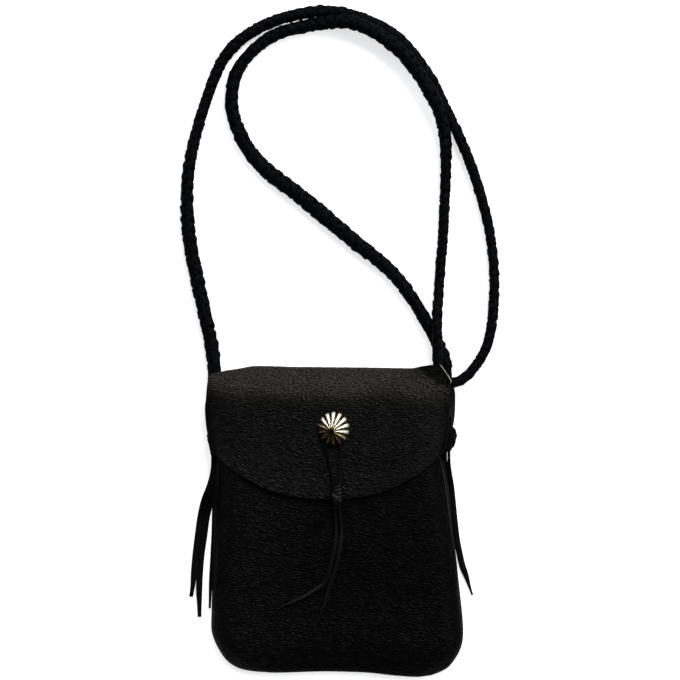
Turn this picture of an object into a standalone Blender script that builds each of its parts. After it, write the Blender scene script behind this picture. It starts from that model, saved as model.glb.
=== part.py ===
# A small black leather medicine bag, lying on its back as it would rest.
# Metres, +Z up. +Y runs towards the fold at the bag's top, and +X to the right
# as one looks down on the front. The origin is on the surface that the bag lies
# on, under the middle of the bag itself, without its neck strap and thongs.

import math

import bmesh
import bpy
import numpy as np
from mathutils import Vector

# Leather and clearances
PANEL_THICKNESS = 0.0014
FLAP_THICKNESS = 0.0014
GAP = 0.0003

# The pouch: widths across it, and its length from the fold to the bottom seam
BAG_LENGTH = 0.1733
BOTTOM_WIDTH = 0.1422
WAIST_WIDTH = 0.1288
BOTTOM_LEVEL = -0.0605
WAIST_LEVEL = 0.0350
CORNER_RADIUS = 0.0250
LEAN = 0.0040

# The front panel's puffed form
FRONT_HEIGHT = 0.0137
FRONT_HEIGHT_AT_BOTTOM = 0.0112
SIDE_ROUNDING = 0.0200
BOTTOM_ROUNDING = 0.0220
MOUTH_BELOW_FOLD = 0.0220
FRONT_TOP_WIDTH = 0.1170
TAPER_LENGTH = 0.0060

# The fold over the top, and the ears that stay above the strap at its two ends
FOLD_HEIGHT = 0.0155
EAR_WIDTH = 0.1422
EAR_BLEND = 0.0160
EAR_TOP_BELOW_FOLD = 0.0155
LEFT_NOTCH = 0.0098
RIGHT_NOTCH = 0.0143
LEFT_EAR_START = math.radians(110)
RIGHT_EAR_START = math.radians(150)
CREST_FLAT = 0.0012

# The flap
FLAP_LENGTH = 0.0730
FLAP_WIDTH = 0.1380
FLAP_ARC_RISE = 0.0256
FLAP_ARC_POWER = 2.4
FLAP_SIDE_DROOP = 0.0050
FLAP_DROOP_WIDTH = 0.0200
FLAP_DROOP_LENGTH = 0.0150
HINGE_ABOVE_SKIN = 0.00025

# The fluted dome and its wire shank
CONCHO_DIAMETER = 0.0190
CONCHO_HEIGHT = 0.0045
CONCHO_WALL = 0.0009
CONCHO_LIP = 0.0001
CONCHO_FLUTES = 14
CONCHO_BELOW_FOLD = 0.0336
CONCHO_RIGHT_OF_MIDDLE = 0.0018
DOME_SHOULDER = 2.2
DOME_ROUNDING = 0.8
FLUTE_DEPTH = 0.0006
SHANK_WIRE = 0.0012
SHANK_LENGTH = 0.0050
SHANK_CLEARANCE = 0.0007

# The lace: a flat loop over the shank's bar, a coiled knot and two free tails
LACE_WIDTH = 0.0022
LACE_THICKNESS = 0.0010
LOOP_LACE_WIDTH = 0.0018
LOOP_WIDTH = 0.0095
LOOP_NECK = 0.0045
LOOP_LIFT = 0.0006
LOOP_BELOW_RIM = 0.0030
LOOP_INSIDE_RIM = 0.0015
LOOP_BELOW_BAR = 0.0030
KNOT_WIDTH = 0.0070
KNOT_THICKNESS = 0.0052
KNOT_LENGTH = 0.0114
KNOT_BELOW_FOLD = 0.0707
KNOT_RIGHT_OF_MIDDLE = 0.0037
KNOT_TURNS = 5
KNOT_END_SHARE = 0.72
KNOT_RIDGE_SHARE = 0.10
TAIL_LEAVES_BELOW_FLAP = 0.0040
TAIL_RESTS_BELOW_FLAP = 0.0160

# The neck strap, its two knots and the thongs that hang from them
STRAP_DIAMETER = 0.0063
STRAP_KNOT_DIAMETER = 0.0070
STRAP_KNOT_LUMPS = 3
STRAP_KNOT_SWELL = 0.16
THONG_WIDTH = 0.0030
SHORT_THONG_WIDTH = 0.0020
THONG_THICKNESS = 0.0011
THONG_TIP_SHARE = 0.4
THONG_TAPER_FROM = 0.6
POINT_SPACING = 2.4

FOLD_Y = BAG_LENGTH / 2
BOTTOM_Y = -BAG_LENGTH / 2
FOLD_RADIUS = FOLD_HEIGHT / 2
FOLD_CENTRE_Y = FOLD_Y - FOLD_RADIUS
HINGE_Y = FOLD_CENTRE_Y - CREST_FLAT
HINGE_Z = FOLD_HEIGHT + HINGE_ABOVE_SKIN
MOUTH_Y = FOLD_Y - MOUTH_BELOW_FOLD
SEAM_Z = PANEL_THICKNESS + GAP
TOP_CENTRE_X = -LEAN / 2
LACE_RADIUS = LACE_WIDTH / 2

# The strap's route: one braid laid double, from the left knot up round the outer
# loop to the bight behind the bag's top right corner, and back along the inner
# loop and the diagonal to the right knot. It lifts where it lies on itself.
STRAP_ROUTE = [
    (-0.0680, 0.0511, 0.0050),
    (-0.0675, 0.0765, 0.0050),
    (-0.0693, 0.0972, 0.0034),
    (-0.0754, 0.1263, 0.0033),
    (-0.0826, 0.1640, 0.0033),
    (-0.0828, 0.1987, 0.0033),
    (-0.0732, 0.2380, 0.0033),
    (-0.0620, 0.2643, 0.0033),
    (-0.0483, 0.2774, 0.0033),
    (-0.0261, 0.2871, 0.0033),
    (0.0013, 0.2899, 0.0033),
    (0.0337, 0.2771, 0.0033),
    (0.0519, 0.2567, 0.0033),
    (0.0644, 0.2332, 0.0033),
    (0.0776, 0.2038, 0.0033),
    (0.0885, 0.1656, 0.0033),
    (0.0913, 0.1314, 0.0033),
    (0.0872, 0.0998, 0.0033),
    (0.0754, 0.0824, 0.0070),
    (0.0671, 0.0787, 0.0098),
    (0.0611, 0.0819, 0.0098),
    (0.0587, 0.1115, 0.0094),
    (0.0598, 0.1314, 0.0034),
    (0.0628, 0.1742, 0.0033),
    (0.0630, 0.2200, 0.0066),
    (0.0576, 0.2380, 0.0087),
    (0.0363, 0.2686, 0.0085),
    (0.0101, 0.2833, 0.0083),
    (-0.0107, 0.2826, 0.0038),
    (-0.0364, 0.2751, 0.0033),
    (-0.0546, 0.2568, 0.0033),
    (-0.0580, 0.2352, 0.0033),
    (-0.0466, 0.2084, 0.0033),
    (-0.0164, 0.1827, 0.0033),
    (0.0076, 0.1625, 0.0033),
    (0.0357, 0.1385, 0.0033),
    (0.0553, 0.1083, 0.0033),
    (0.0637, 0.0887, 0.0033),
    (0.0629, 0.0800, 0.0037),
    (0.0621, 0.0710, 0.0052),
    (0.0642, 0.0551, 0.0050),
]

# The knots' centre lines, top to bottom
LEFT_KNOT_ROUTE = [
    (-0.0680, 0.0506, 0.0052),
    (-0.0678, 0.0430, 0.0055),
    (-0.0676, 0.0368, 0.0052),
]
RIGHT_KNOT_ROUTE = [
    (0.0645, 0.0546, 0.0052),
    (0.0662, 0.0480, 0.0055),
    (0.0646, 0.0408, 0.0052),
]

# The thongs' routes, from the knot to the free tip
THONG_ROUTES = {
    "left_thong_outer": [
        (-0.0688, 0.0363, 0.0080),
        (-0.0694, 0.0270, 0.0066),
        (-0.0711, 0.0190, 0.0056),
        (-0.0739, 0.0112, 0.0034),
        (-0.0761, 0.0015, 0.0009),
        (-0.0775, -0.0088, 0.0009),
        (-0.0787, -0.0185, 0.0009),
        (-0.0795, -0.0270, 0.0009),
        (-0.0804, -0.0367, 0.0009),
        (-0.0814, -0.0435, 0.0009),
    ],
    "left_thong_inner": [
        (-0.0690, 0.0363, 0.0053),
        (-0.0692, 0.0270, 0.0044),
        (-0.0696, 0.0190, 0.0034),
        (-0.0705, 0.0112, 0.0024),
        (-0.0726, 0.0015, 0.0010),
        (-0.0740, -0.0088, 0.0009),
        (-0.0754, -0.0185, 0.0009),
        (-0.0762, -0.0270, 0.0009),
        (-0.0768, -0.0378, 0.0009),
        (-0.0767, -0.0470, 0.0009),
        (-0.0766, -0.0550, 0.0009),
    ],
    "left_thong_short": [
        (-0.0692, 0.0363, 0.0026),
        (-0.0689, 0.0270, 0.0012),
        (-0.0684, 0.0120, 0.0009),
        (-0.0686, -0.0030, 0.0009),
        (-0.0692, -0.0170, 0.0009),
        (-0.0701, -0.0330, 0.0009),
        (-0.0708, -0.0500, 0.0009),
    ],
    "right_thong": [
        (0.0655, 0.0402, 0.0050),
        (0.0657, 0.0310, 0.0030),
        (0.0668, 0.0200, 0.0012),
        (0.0679, 0.0090, 0.0009),
        (0.0690, -0.0020, 0.0009),
        (0.0701, -0.0110, 0.0009),
        (0.0717, -0.0190, 0.0009),
        (0.0733, -0.0259, 0.0009),
        (0.0756, -0.0321, 0.0009),
        (0.0774, -0.0378, 0.0009),
        (0.0790, -0.0425, 0.0009),
    ],
}

# The lace tails' places on the front panel, from the tie knot to the free tip
LONG_TAIL_ROUTE = [
    (0.0030, 0.0086),
    (0.0038, 0.0020),
    (0.0043, -0.0048),
    (0.0037, -0.0130),
    (0.0026, -0.0200),
    (0.0006, -0.0280),
    (-0.0026, -0.0370),
    (-0.0048, -0.0450),
    (-0.0100, -0.0578),
    (-0.0158, -0.0686),
]
SHORT_TAIL_ROUTE = [
    (0.0005, 0.0086),
    (0.0010, 0.0010),
    (0.0013, -0.0060),
    (0.0005, -0.0140),
    (-0.0012, -0.0220),
    (-0.0036, -0.0310),
    (-0.0059, -0.0356),
    (-0.0106, -0.0390),
    (-0.0164, -0.0424),
    (-0.0227, -0.0455),
    (-0.0286, -0.0478),
    (-0.0356, -0.0536),
]

# The materials: colour, roughness and metallic value
LEATHER = ("black_leather", (0.016, 0.016, 0.017), 0.55, 0.0)
BRAID = ("black_braided_leather", (0.012, 0.013, 0.016), 0.8, 0.0)
LACE = ("black_lace", (0.012, 0.012, 0.012), 0.7, 0.0)
SILVER = ("antiqued_silver", (0.62, 0.60, 0.56), 0.3, 1.0)


def clear_scene():
    for old in list(bpy.data.objects):
        bpy.data.objects.remove(old)


def material(finish):
    name, colour, roughness, metallic = finish
    made = bpy.data.materials.get(name)
    if made is None:
        made = bpy.data.materials.new(name)
        made.use_nodes = True
        shader = made.node_tree.nodes["Principled BSDF"]
        shader.inputs["Base Color"].default_value = (*colour, 1.0)
        shader.inputs["Roughness"].default_value = roughness
        shader.inputs["Metallic"].default_value = metallic
    return made


def own_material(obj, finish):
    """Gives the object a material of its own, named after it."""
    name, colour, roughness, metallic = finish
    obj.data.materials.append(material((f"{name}_{obj.name}", colour, roughness, metallic)))


def add_mesh(name, mesh, finish, smooth_angle=math.radians(40)):
    mesh.shade_smooth()
    mesh.set_sharp_from_angle(angle=smooth_angle)
    obj = bpy.data.objects.new(name, mesh)
    bpy.context.scene.collection.objects.link(obj)
    own_material(obj, finish)
    return obj


def place_on(obj, parent):
    """Parents the object to an empty and keeps its place in the world."""
    obj.parent = parent
    obj.matrix_parent_inverse = parent.matrix_world.inverted()


# Smooth curves through chosen points

def smooth_curve(points, steps=12):
    """Points on a smooth curve (centripetal Catmull-Rom) through the chosen ones."""
    route = np.array(points, float)
    first = 2 * route[0] - route[1]
    last = 2 * route[-1] - route[-2]
    route = np.vstack([first, route, last])
    found = []
    for before, start, end, after in zip(route, route[1:], route[2:], route[3:]):
        t0 = math.sqrt(np.linalg.norm(start - before))
        t1 = math.sqrt(np.linalg.norm(end - start))
        t2 = math.sqrt(np.linalg.norm(after - end))
        leave = (end - start) - t1 * (end - before) / (t0 + t1) + t1 * (start - before) / t0
        arrive = (end - start) - t1 * (after - start) / (t1 + t2) + t1 * (after - end) / t2
        for step in range(steps):
            s = step / steps
            found.append(
                (2 * s**3 - 3 * s**2 + 1) * start
                + (s**3 - 2 * s**2 + s) * leave
                + (3 * s**2 - 2 * s**3) * end
                + (s**3 - s**2) * arrive
            )
    found.append(route[-2])
    return np.array(found)


def thinned(curve, longest, sharpest=math.radians(24)):
    """The curve's points, far apart where it runs straight and closer in a bend."""
    kept = [curve[0]]
    run = 0.0
    turn = 0.0
    for before, here, after in zip(curve, curve[1:], curve[2:]):
        run += np.linalg.norm(here - before)
        heading = Vector(here - before).angle(Vector(after - here), 0.0)
        turn += heading
        if run >= longest or turn >= sharpest:
            kept.append(here)
            run = 0.0
            turn = 0.0
    kept.append(curve[-1])
    return kept


def tube(name, points, radius, finish, sides_level=2, swell=None):
    """A round cord along the points, as a bevelled curve with filled caps."""
    data = bpy.data.curves.new(name, "CURVE")
    data.dimensions = "3D"
    data.bevel_depth = radius
    data.bevel_resolution = sides_level
    data.use_fill_caps = True
    spline = data.splines.new("POLY")
    spline.points.add(len(points) - 1)
    spline.use_smooth = True
    for index, (target, point) in enumerate(zip(spline.points, points)):
        target.co = (*point, 1.0)
        target.radius = 1.0 if swell is None else swell(index / (len(points) - 1))
    obj = bpy.data.objects.new(name, data)
    bpy.context.scene.collection.objects.link(obj)
    own_material(obj, finish)
    return obj


# The bag's outline and the forms of its panels

def share(value, start, end):
    return min(1.0, max(0.0, (value - start) / (end - start)))


def eased(value, start, end):
    part = share(value, start, end)
    return part * part * (3 - 2 * part)


def centre_x(y):
    """The bag leans: its lower part sits a little to the right of its top."""
    return TOP_CENTRE_X + LEAN * share(y, WAIST_LEVEL, BOTTOM_LEVEL)


def corner_cut(y, radius):
    """How far a bottom corner's arc draws the side in at this level."""
    above = min(y - BOTTOM_Y, radius)
    return radius - math.sqrt(max(0.0, radius**2 - (radius - above) ** 2))


def half_width(y):
    """Half the pouch's width, from the bottom seam up to the waist."""
    grown = (BOTTOM_WIDTH - WAIST_WIDTH) / 2 * share(y, WAIST_LEVEL, BOTTOM_LEVEL)
    return WAIST_WIDTH / 2 + grown - corner_cut(y, CORNER_RADIUS)


def back_half_width(y):
    """The back panel widens above the waist into the ears that carry the strap's ends."""
    extra = (EAR_WIDTH - WAIST_WIDTH) / 2
    return half_width(y) + extra * eased(y, WAIST_LEVEL, WAIST_LEVEL + EAR_BLEND)


def front_half_width(y):
    """The front panel narrows above the waist, under the flap, to clear the strap."""
    less = (WAIST_WIDTH - FRONT_TOP_WIDTH) / 2
    return half_width(y) - less * eased(y, WAIST_LEVEL, WAIST_LEVEL + TAPER_LENGTH)


def rounded(distance, radius):
    """A quarter round's height, as a share, this far in from the edge."""
    return math.sqrt(max(0.0, 1 - (1 - min(distance / radius, 1.0)) ** 2))


def front_height(y):
    fall = FRONT_HEIGHT - FRONT_HEIGHT_AT_BOTTOM
    return FRONT_HEIGHT - fall * eased(y, 0.0, BOTTOM_Y)


def front_z(x, y, inset=0.0):
    """The front panel's outer surface, or with an inset its inner one."""
    side = front_half_width(y) - abs(x - centre_x(y)) - inset
    rise = rounded(max(side, 0.0), SIDE_ROUNDING - inset)
    rise *= rounded(max(y - BOTTOM_Y - inset, 0.0), BOTTOM_ROUNDING - inset)
    return SEAM_Z + (front_height(y) - inset - SEAM_Z) * rise


def flap_z(x, y):
    """The flap's outer surface: level at the hinge, its sides drooping further down."""
    side = FLAP_WIDTH / 2 - abs(x - TOP_CENTRE_X)
    droop = FLAP_SIDE_DROOP * (1 - min(max(side, 0.0) / FLAP_DROOP_WIDTH, 1.0)) ** 2
    return FOLD_HEIGHT - droop * eased(y, HINGE_Y, HINGE_Y - FLAP_DROOP_LENGTH)


def flap_edge_y(across):
    """The flap's lower edge: across runs from -1 to 1 over its width."""
    return FOLD_Y - FLAP_LENGTH + FLAP_ARC_RISE * abs(across) ** FLAP_ARC_POWER


# Meshes

def closed_shell(name, outer, inner, finish):
    """A wall between two grids of points with the same rows, its edges closed."""
    rows = len(outer)
    columns = len(outer[0])
    bm = bmesh.new()
    skins = [[[bm.verts.new(point) for point in row] for row in grid] for grid in (outer, inner)]
    for grid in skins:
        for row, below in zip(grid, grid[1:]):
            for column in range(columns - 1):
                bm.faces.new((row[column], row[column + 1], below[column + 1], below[column]))
    border = [(0, column) for column in range(columns)]
    border += [(row, columns - 1) for row in range(1, rows)]
    border += [(rows - 1, column) for column in range(columns - 2, -1, -1)]
    border += [(row, 0) for row in range(rows - 2, 0, -1)]
    for here, after in zip(border, border[1:] + border[:1]):
        bm.faces.new(
            (
                skins[0][here[0]][here[1]],
                skins[0][after[0]][after[1]],
                skins[1][after[0]][after[1]],
                skins[1][here[0]][here[1]],
            )
        )
    bmesh.ops.recalc_face_normals(bm, faces=bm.faces)
    mesh = bpy.data.meshes.new(name)
    bm.to_mesh(mesh)
    bm.free()
    return add_mesh(name, mesh, finish)


def spread(count):
    """Values from -1 to 1, closer together near both ends."""
    return [math.sin(math.pi / 2 * (2 * step / count - 1)) for step in range(count + 1)]


def make_front_panel(columns=20, rows=18):
    grids = []
    for inset in (0.0, PANEL_THICKNESS):
        bottom = BOTTOM_Y + inset
        grid = []
        for row in range(rows + 1):
            y = MOUTH_Y + (bottom - MOUTH_Y) * math.sin(math.pi / 2 * row / rows)
            half = front_half_width(max(y - inset, BOTTOM_Y)) - inset
            grid.append(
                [
                    (centre_x(y) + half * across, y, front_z(centre_x(y) + half * across, y, inset))
                    for across in spread(columns)
                ]
            )
        grids.append(grid)
    return closed_shell("front_panel", grids[0], grids[1], LEATHER)


def back_profile(corner_rows=6, side_rows=8, ear_rows=4, fold_rows=9):
    """The back sheet's stations from the bottom seam to the crest of the fold, as (y, z)."""
    stations = []
    for row in range(corner_rows):
        angle = math.pi / 2 * row / corner_rows
        stations.append((BOTTOM_Y + CORNER_RADIUS * (1 - math.cos(angle)), 0.0))
    low = BOTTOM_Y + CORNER_RADIUS
    ear_top = FOLD_Y - EAR_TOP_BELOW_FOLD
    for row in range(side_rows):
        stations.append((low + (WAIST_LEVEL - low) * row / side_rows, 0.0))
    for row in range(ear_rows):
        stations.append((WAIST_LEVEL + EAR_BLEND * row / ear_rows, 0.0))
    stations.append((WAIST_LEVEL + EAR_BLEND, 0.0))
    stations.append((ear_top, 0.0))
    notch_start = len(stations) - 1
    angles = [math.pi * row / fold_rows for row in range(fold_rows + 1)]
    angles = sorted(angles + [LEFT_EAR_START, RIGHT_EAR_START])
    for angle in angles:
        y = FOLD_CENTRE_Y + FOLD_RADIUS * math.sin(angle)
        stations.append((y, FOLD_RADIUS * (1 - math.cos(angle))))
    fold_start = len(stations) - len(angles)
    ends = [fold_start + angles.index(start) for start in (LEFT_EAR_START, RIGHT_EAR_START)]
    stations.append((HINGE_Y + GAP / 2, FOLD_HEIGHT))
    return stations, notch_start, ends


def make_back_panel(middle_columns=10, ear_columns=2):
    """One sheet: flat back, rounded fold, and a notch at each end for the strap."""
    stations, notch_start, (left_end, right_end) = back_profile()
    left_inner = -1 + LEFT_NOTCH / (EAR_WIDTH / 2)
    right_inner = 1 - RIGHT_NOTCH / (EAR_WIDTH / 2)
    left_ear = np.linspace(-1.0, left_inner, ear_columns + 1)
    middle = np.linspace(left_inner, right_inner, middle_columns + 1)
    right_ear = np.linspace(right_inner, 1.0, ear_columns + 1)
    across = [*left_ear, *middle[1:], *right_ear[1:]]
    right_start = ear_columns + middle_columns
    bm = bmesh.new()
    grid = []
    for y, z in stations:
        centre = centre_x(y)
        half = back_half_width(y)
        grid.append([bm.verts.new((centre + half * part, y, z)) for part in across])
    for row in range(len(stations) - 1):
        for column in range(len(across) - 1):
            if column < ear_columns and notch_start <= row < left_end:
                continue
            if column >= right_start and notch_start <= row < right_end:
                continue
            bm.faces.new(
                (
                    grid[row][column],
                    grid[row + 1][column],
                    grid[row + 1][column + 1],
                    grid[row][column + 1],
                )
            )
    bmesh.ops.delete(bm, geom=[v for v in bm.verts if not v.link_faces], context="VERTS")
    mesh = bpy.data.meshes.new("back_panel")
    bm.to_mesh(mesh)
    bm.free()
    obj = add_mesh("back_panel", mesh, LEATHER)
    wall = obj.modifiers.new("leather_thickness", "SOLIDIFY")
    wall.thickness = PANEL_THICKNESS
    wall.offset = -1.0
    wall.use_even_offset = True
    return obj


def make_flap(columns=20, rows=10):
    grids = []
    for depth in (0.0, FLAP_THICKNESS):
        grid = []
        for row in range(rows + 1):
            down = row / rows
            line = []
            for across in spread(columns):
                start = HINGE_Y - GAP / 2
                y = start + (flap_edge_y(across) - start) * down
                x = TOP_CENTRE_X + FLAP_WIDTH / 2 * across
                line.append((x, y, flap_z(x, y) - depth))
            grid.append(line)
        grids.append(grid)
    return closed_shell("flap", grids[0], grids[1], LEATHER)


# The concho and its lace

CONCHO_X = TOP_CENTRE_X + CONCHO_RIGHT_OF_MIDDLE
CONCHO_Y = FOLD_Y - CONCHO_BELOW_FOLD
LACE_REST_Z = FOLD_HEIGHT + GAP + LACE_THICKNESS / 2
CONCHO_RIM_Z = FOLD_HEIGHT + GAP + LACE_THICKNESS + GAP
SHANK_BAR_Z = FOLD_HEIGHT + GAP + SHANK_WIRE / 2
LACE_OVER_SHANK_Z = SHANK_BAR_Z + SHANK_WIRE / 2 + GAP + LACE_THICKNESS / 2


def concho_dome_z(share_out):
    """Height of the dome's outer skin above its rim, from the hub (0) to the rim (1)."""
    return CONCHO_HEIGHT * (1 - share_out**DOME_SHOULDER) ** DOME_ROUNDING


def make_concho(rings=7, per_flute=4):
    """A stamped dome with radial flutes and a scalloped rim, open underneath."""
    segments = CONCHO_FLUTES * per_flute
    radius = CONCHO_DIAMETER / 2
    bm = bmesh.new()
    skins = []
    for inner in (False, True):
        rows = []
        for ring in range(1, rings + 1):
            out = math.sin(math.pi / 2 * ring / rings)
            row = []
            for segment in range(segments):
                angle = 2 * math.pi * segment / segments
                crown = abs(math.cos(CONCHO_FLUTES * angle / 2))
                reach = radius - FLUTE_DEPTH * (1 - crown)
                height = concho_dome_z(out)
                if inner:
                    reach -= CONCHO_WALL
                    height *= 1 - CONCHO_WALL / CONCHO_HEIGHT
                else:
                    height += FLUTE_DEPTH * (crown - 1) * out * (1 - out**6)
                    height += 0.0 if ring == rings else CONCHO_LIP
                place = (
                    CONCHO_X + reach * out * math.cos(angle),
                    CONCHO_Y + reach * out * math.sin(angle),
                    CONCHO_RIM_Z + height,
                )
                row.append(bm.verts.new(place))
            rows.append(row)
        top = CONCHO_HEIGHT - (CONCHO_WALL if inner else 0.0)
        hub = bm.verts.new((CONCHO_X, CONCHO_Y, CONCHO_RIM_Z + top))
        skins.append((rows, hub))
    for rows, hub in skins:
        for segment in range(segments):
            after = (segment + 1) % segments
            bm.faces.new((hub, rows[0][segment], rows[0][after]))
            for row, outer_row in zip(rows, rows[1:]):
                bm.faces.new((row[segment], outer_row[segment], outer_row[after], row[after]))
    outer_rim = skins[0][0][-1]
    inner_rim = skins[1][0][-1]
    for segment in range(segments):
        after = (segment + 1) % segments
        bm.faces.new((outer_rim[segment], inner_rim[segment], inner_rim[after], outer_rim[after]))
    bmesh.ops.recalc_face_normals(bm, faces=bm.faces)
    mesh = bpy.data.meshes.new("concho")
    bm.to_mesh(mesh)
    bm.free()
    return add_mesh("concho", mesh, SILVER)


def make_shank():
    """A wire staple under the dome. The lace passes over its bar."""
    half = SHANK_LENGTH / 2
    share_out = half / (CONCHO_DIAMETER / 2)
    inside = concho_dome_z(share_out) * (1 - CONCHO_WALL / CONCHO_HEIGHT)
    top = CONCHO_RIM_Z + inside - SHANK_CLEARANCE
    points = [
        (CONCHO_X, CONCHO_Y + half, top),
        (CONCHO_X, CONCHO_Y + half, SHANK_BAR_Z),
        (CONCHO_X, CONCHO_Y - half, SHANK_BAR_Z),
        (CONCHO_X, CONCHO_Y - half, top),
    ]
    return tube("concho_shank", points, SHANK_WIRE / 2, SILVER)


def ribbon(name, points, width, thickness, finish, tip_share=1.0):
    """A flat strip along the points, its width lying level and narrowing to its tip."""
    bm = bmesh.new()
    rings = []
    for index, point in enumerate(points):
        before = Vector(points[max(index - 1, 0)])
        after = Vector(points[min(index + 1, len(points) - 1)])
        along = (after - before).normalized()
        side = along.cross(Vector((0, 0, 1))).normalized()
        up = side.cross(along).normalized()
        tapered = eased(index / (len(points) - 1), THONG_TAPER_FROM, 1.0)
        half = width / 2 * (1 - (1 - tip_share) * tapered)
        corners = []
        for across, lift in ((-1, -1), (1, -1), (1, 1), (-1, 1)):
            offset = side * (across * half) + up * (lift * thickness / 2)
            corners.append(bm.verts.new(Vector(point) + offset))
        rings.append(corners)
    for ring, following in zip(rings, rings[1:]):
        for corner in range(4):
            beside = (corner + 1) % 4
            bm.faces.new((ring[corner], ring[beside], following[beside], following[corner]))
    bm.faces.new(rings[0])
    bm.faces.new(rings[-1])
    bmesh.ops.recalc_face_normals(bm, faces=bm.faces)
    mesh = bpy.data.meshes.new(name)
    bm.to_mesh(mesh)
    bm.free()
    return add_mesh(name, mesh, finish)


KNOT_X = TOP_CENTRE_X + KNOT_RIGHT_OF_MIDDLE
KNOT_Y = FOLD_Y - KNOT_BELOW_FOLD
KNOT_Z = FOLD_HEIGHT + GAP + KNOT_THICKNESS / 2


def lace_strand(side):
    """One strand of the loop, from the knot up under the dome to beside the bar."""
    knot_top = KNOT_Y + KNOT_LENGTH / 2 + GAP
    rim_y = CONCHO_Y - CONCHO_DIAMETER / 2
    at_knot = side * (LACE_WIDTH / 2 + GAP)
    at_dome = side * LOOP_WIDTH / 2
    lifted_z = LACE_REST_Z + LOOP_LIFT
    return [
        (KNOT_X + at_knot, knot_top, KNOT_Z),
        (KNOT_X + at_knot * 1.4, knot_top + LOOP_NECK, lifted_z),
        (CONCHO_X + at_dome * 0.8, rim_y - LOOP_BELOW_RIM, LACE_REST_Z),
        (CONCHO_X + at_dome, rim_y + LOOP_INSIDE_RIM, LACE_REST_Z),
        (CONCHO_X + at_dome * 0.9, CONCHO_Y - LOOP_BELOW_BAR, lifted_z),
    ]


def make_lace_loop():
    """The lace from the knot up under the concho, over the shank's bar and back."""
    reach = LOOP_WIDTH / 4
    over_bar = [(CONCHO_X + part * reach, CONCHO_Y, LACE_OVER_SHANK_Z) for part in (-1, 0, 1)]
    route = lace_strand(-1) + over_bar + lace_strand(1)[::-1]
    points = [tuple(point) for point in smooth_curve(route, 3)]
    return ribbon("tie_lace", points, LOOP_LACE_WIDTH, LACE_THICKNESS, LACE)


def make_tie_knot(sides=16, per_turn=4):
    """The coiled knot: a flattened barrel with a ridge for each turn."""
    bm = bmesh.new()
    stations = KNOT_TURNS * per_turn
    rings = []
    for station in range(stations + 1):
        along = station / stations
        barrel = KNOT_END_SHARE + (1 - KNOT_END_SHARE) * math.sin(math.pi * along)
        ridge = 1 - KNOT_RIDGE_SHARE * (1 - abs(math.sin(math.pi * KNOT_TURNS * along)))
        ring = []
        for side in range(sides):
            angle = 2 * math.pi * side / sides
            ring.append(
                bm.verts.new(
                    (
                        KNOT_X + KNOT_WIDTH / 2 * barrel * ridge * math.cos(angle),
                        KNOT_Y + KNOT_LENGTH * (0.5 - along),
                        KNOT_Z + KNOT_THICKNESS / 2 * barrel * ridge * math.sin(angle),
                    )
                )
            )
        rings.append(ring)
    for ring, following in zip(rings, rings[1:]):
        for side in range(sides):
            beside = (side + 1) % sides
            bm.faces.new((ring[side], ring[beside], following[beside], following[side]))
    bm.faces.new(rings[0])
    bm.faces.new(rings[-1])
    bmesh.ops.recalc_face_normals(bm, faces=bm.faces)
    mesh = bpy.data.meshes.new("tie_knot")
    bm.to_mesh(mesh)
    bm.free()
    return add_mesh("tie_knot", mesh, LACE)


def make_tail(name, route):
    """A lace tail: out of the knot, down over the flap's edge and along the front panel."""
    start_z = KNOT_Z - KNOT_THICKNESS / 2 + LACE_RADIUS + GAP
    points = []
    for x, y in route:
        rest = front_z(x, y) + GAP + LACE_RADIUS
        below_flap = FOLD_Y - FLAP_LENGTH - y
        held = 1 - eased(below_flap, TAIL_LEAVES_BELOW_FLAP, TAIL_RESTS_BELOW_FLAP)
        points.append((x, y, rest + (start_z - rest) * held))
    curve = smooth_curve(points, 6)
    return tube(name, thinned(curve, POINT_SPACING * LACE_WIDTH), LACE_RADIUS, LACE)


# The strap, its knots and the thongs

def make_strap():
    curve = smooth_curve(STRAP_ROUTE, 24)
    points = thinned(curve, POINT_SPACING * STRAP_DIAMETER)
    return tube("neck_strap", points, STRAP_DIAMETER / 2, BRAID, sides_level=3)


def knot_swell(along):
    """The strap knot's lumps, as a share of its full diameter."""
    return 1 - STRAP_KNOT_SWELL * (1 - abs(math.sin(STRAP_KNOT_LUMPS * math.pi * along)))


def make_strap_knot(name, route):
    points = smooth_curve(route, 6)
    return tube(name, points, STRAP_KNOT_DIAMETER / 2, BRAID, swell=knot_swell)


def make_thong(name, route):
    width = SHORT_THONG_WIDTH if name == "left_thong_short" else THONG_WIDTH
    points = thinned(smooth_curve(route, 8), POINT_SPACING * SHORT_THONG_WIDTH)
    return ribbon(name, points, width, THONG_THICKNESS, LACE, THONG_TIP_SHARE)


def main():
    clear_scene()
    make_back_panel()
    make_front_panel()
    make_strap()
    make_strap_knot("left_strap_knot", LEFT_KNOT_ROUTE)
    make_strap_knot("right_strap_knot", RIGHT_KNOT_ROUTE)
    for name, route in THONG_ROUTES.items():
        make_thong(name, route)

    hinge = bpy.data.objects.new("flap_fold_axis", None)
    hinge.location = (0.0, HINGE_Y, HINGE_Z)
    bpy.context.scene.collection.objects.link(hinge)
    bpy.context.view_layer.update()
    moving = [
        make_flap(),
        make_concho(),
        make_shank(),
        make_lace_loop(),
        make_tie_knot(),
        make_tail("tie_tail_long", LONG_TAIL_ROUTE),
        make_tail("tie_tail_short", SHORT_TAIL_ROUTE),
    ]
    for piece in moving:
        place_on(piece, hinge)


main()
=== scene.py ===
import math

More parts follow.
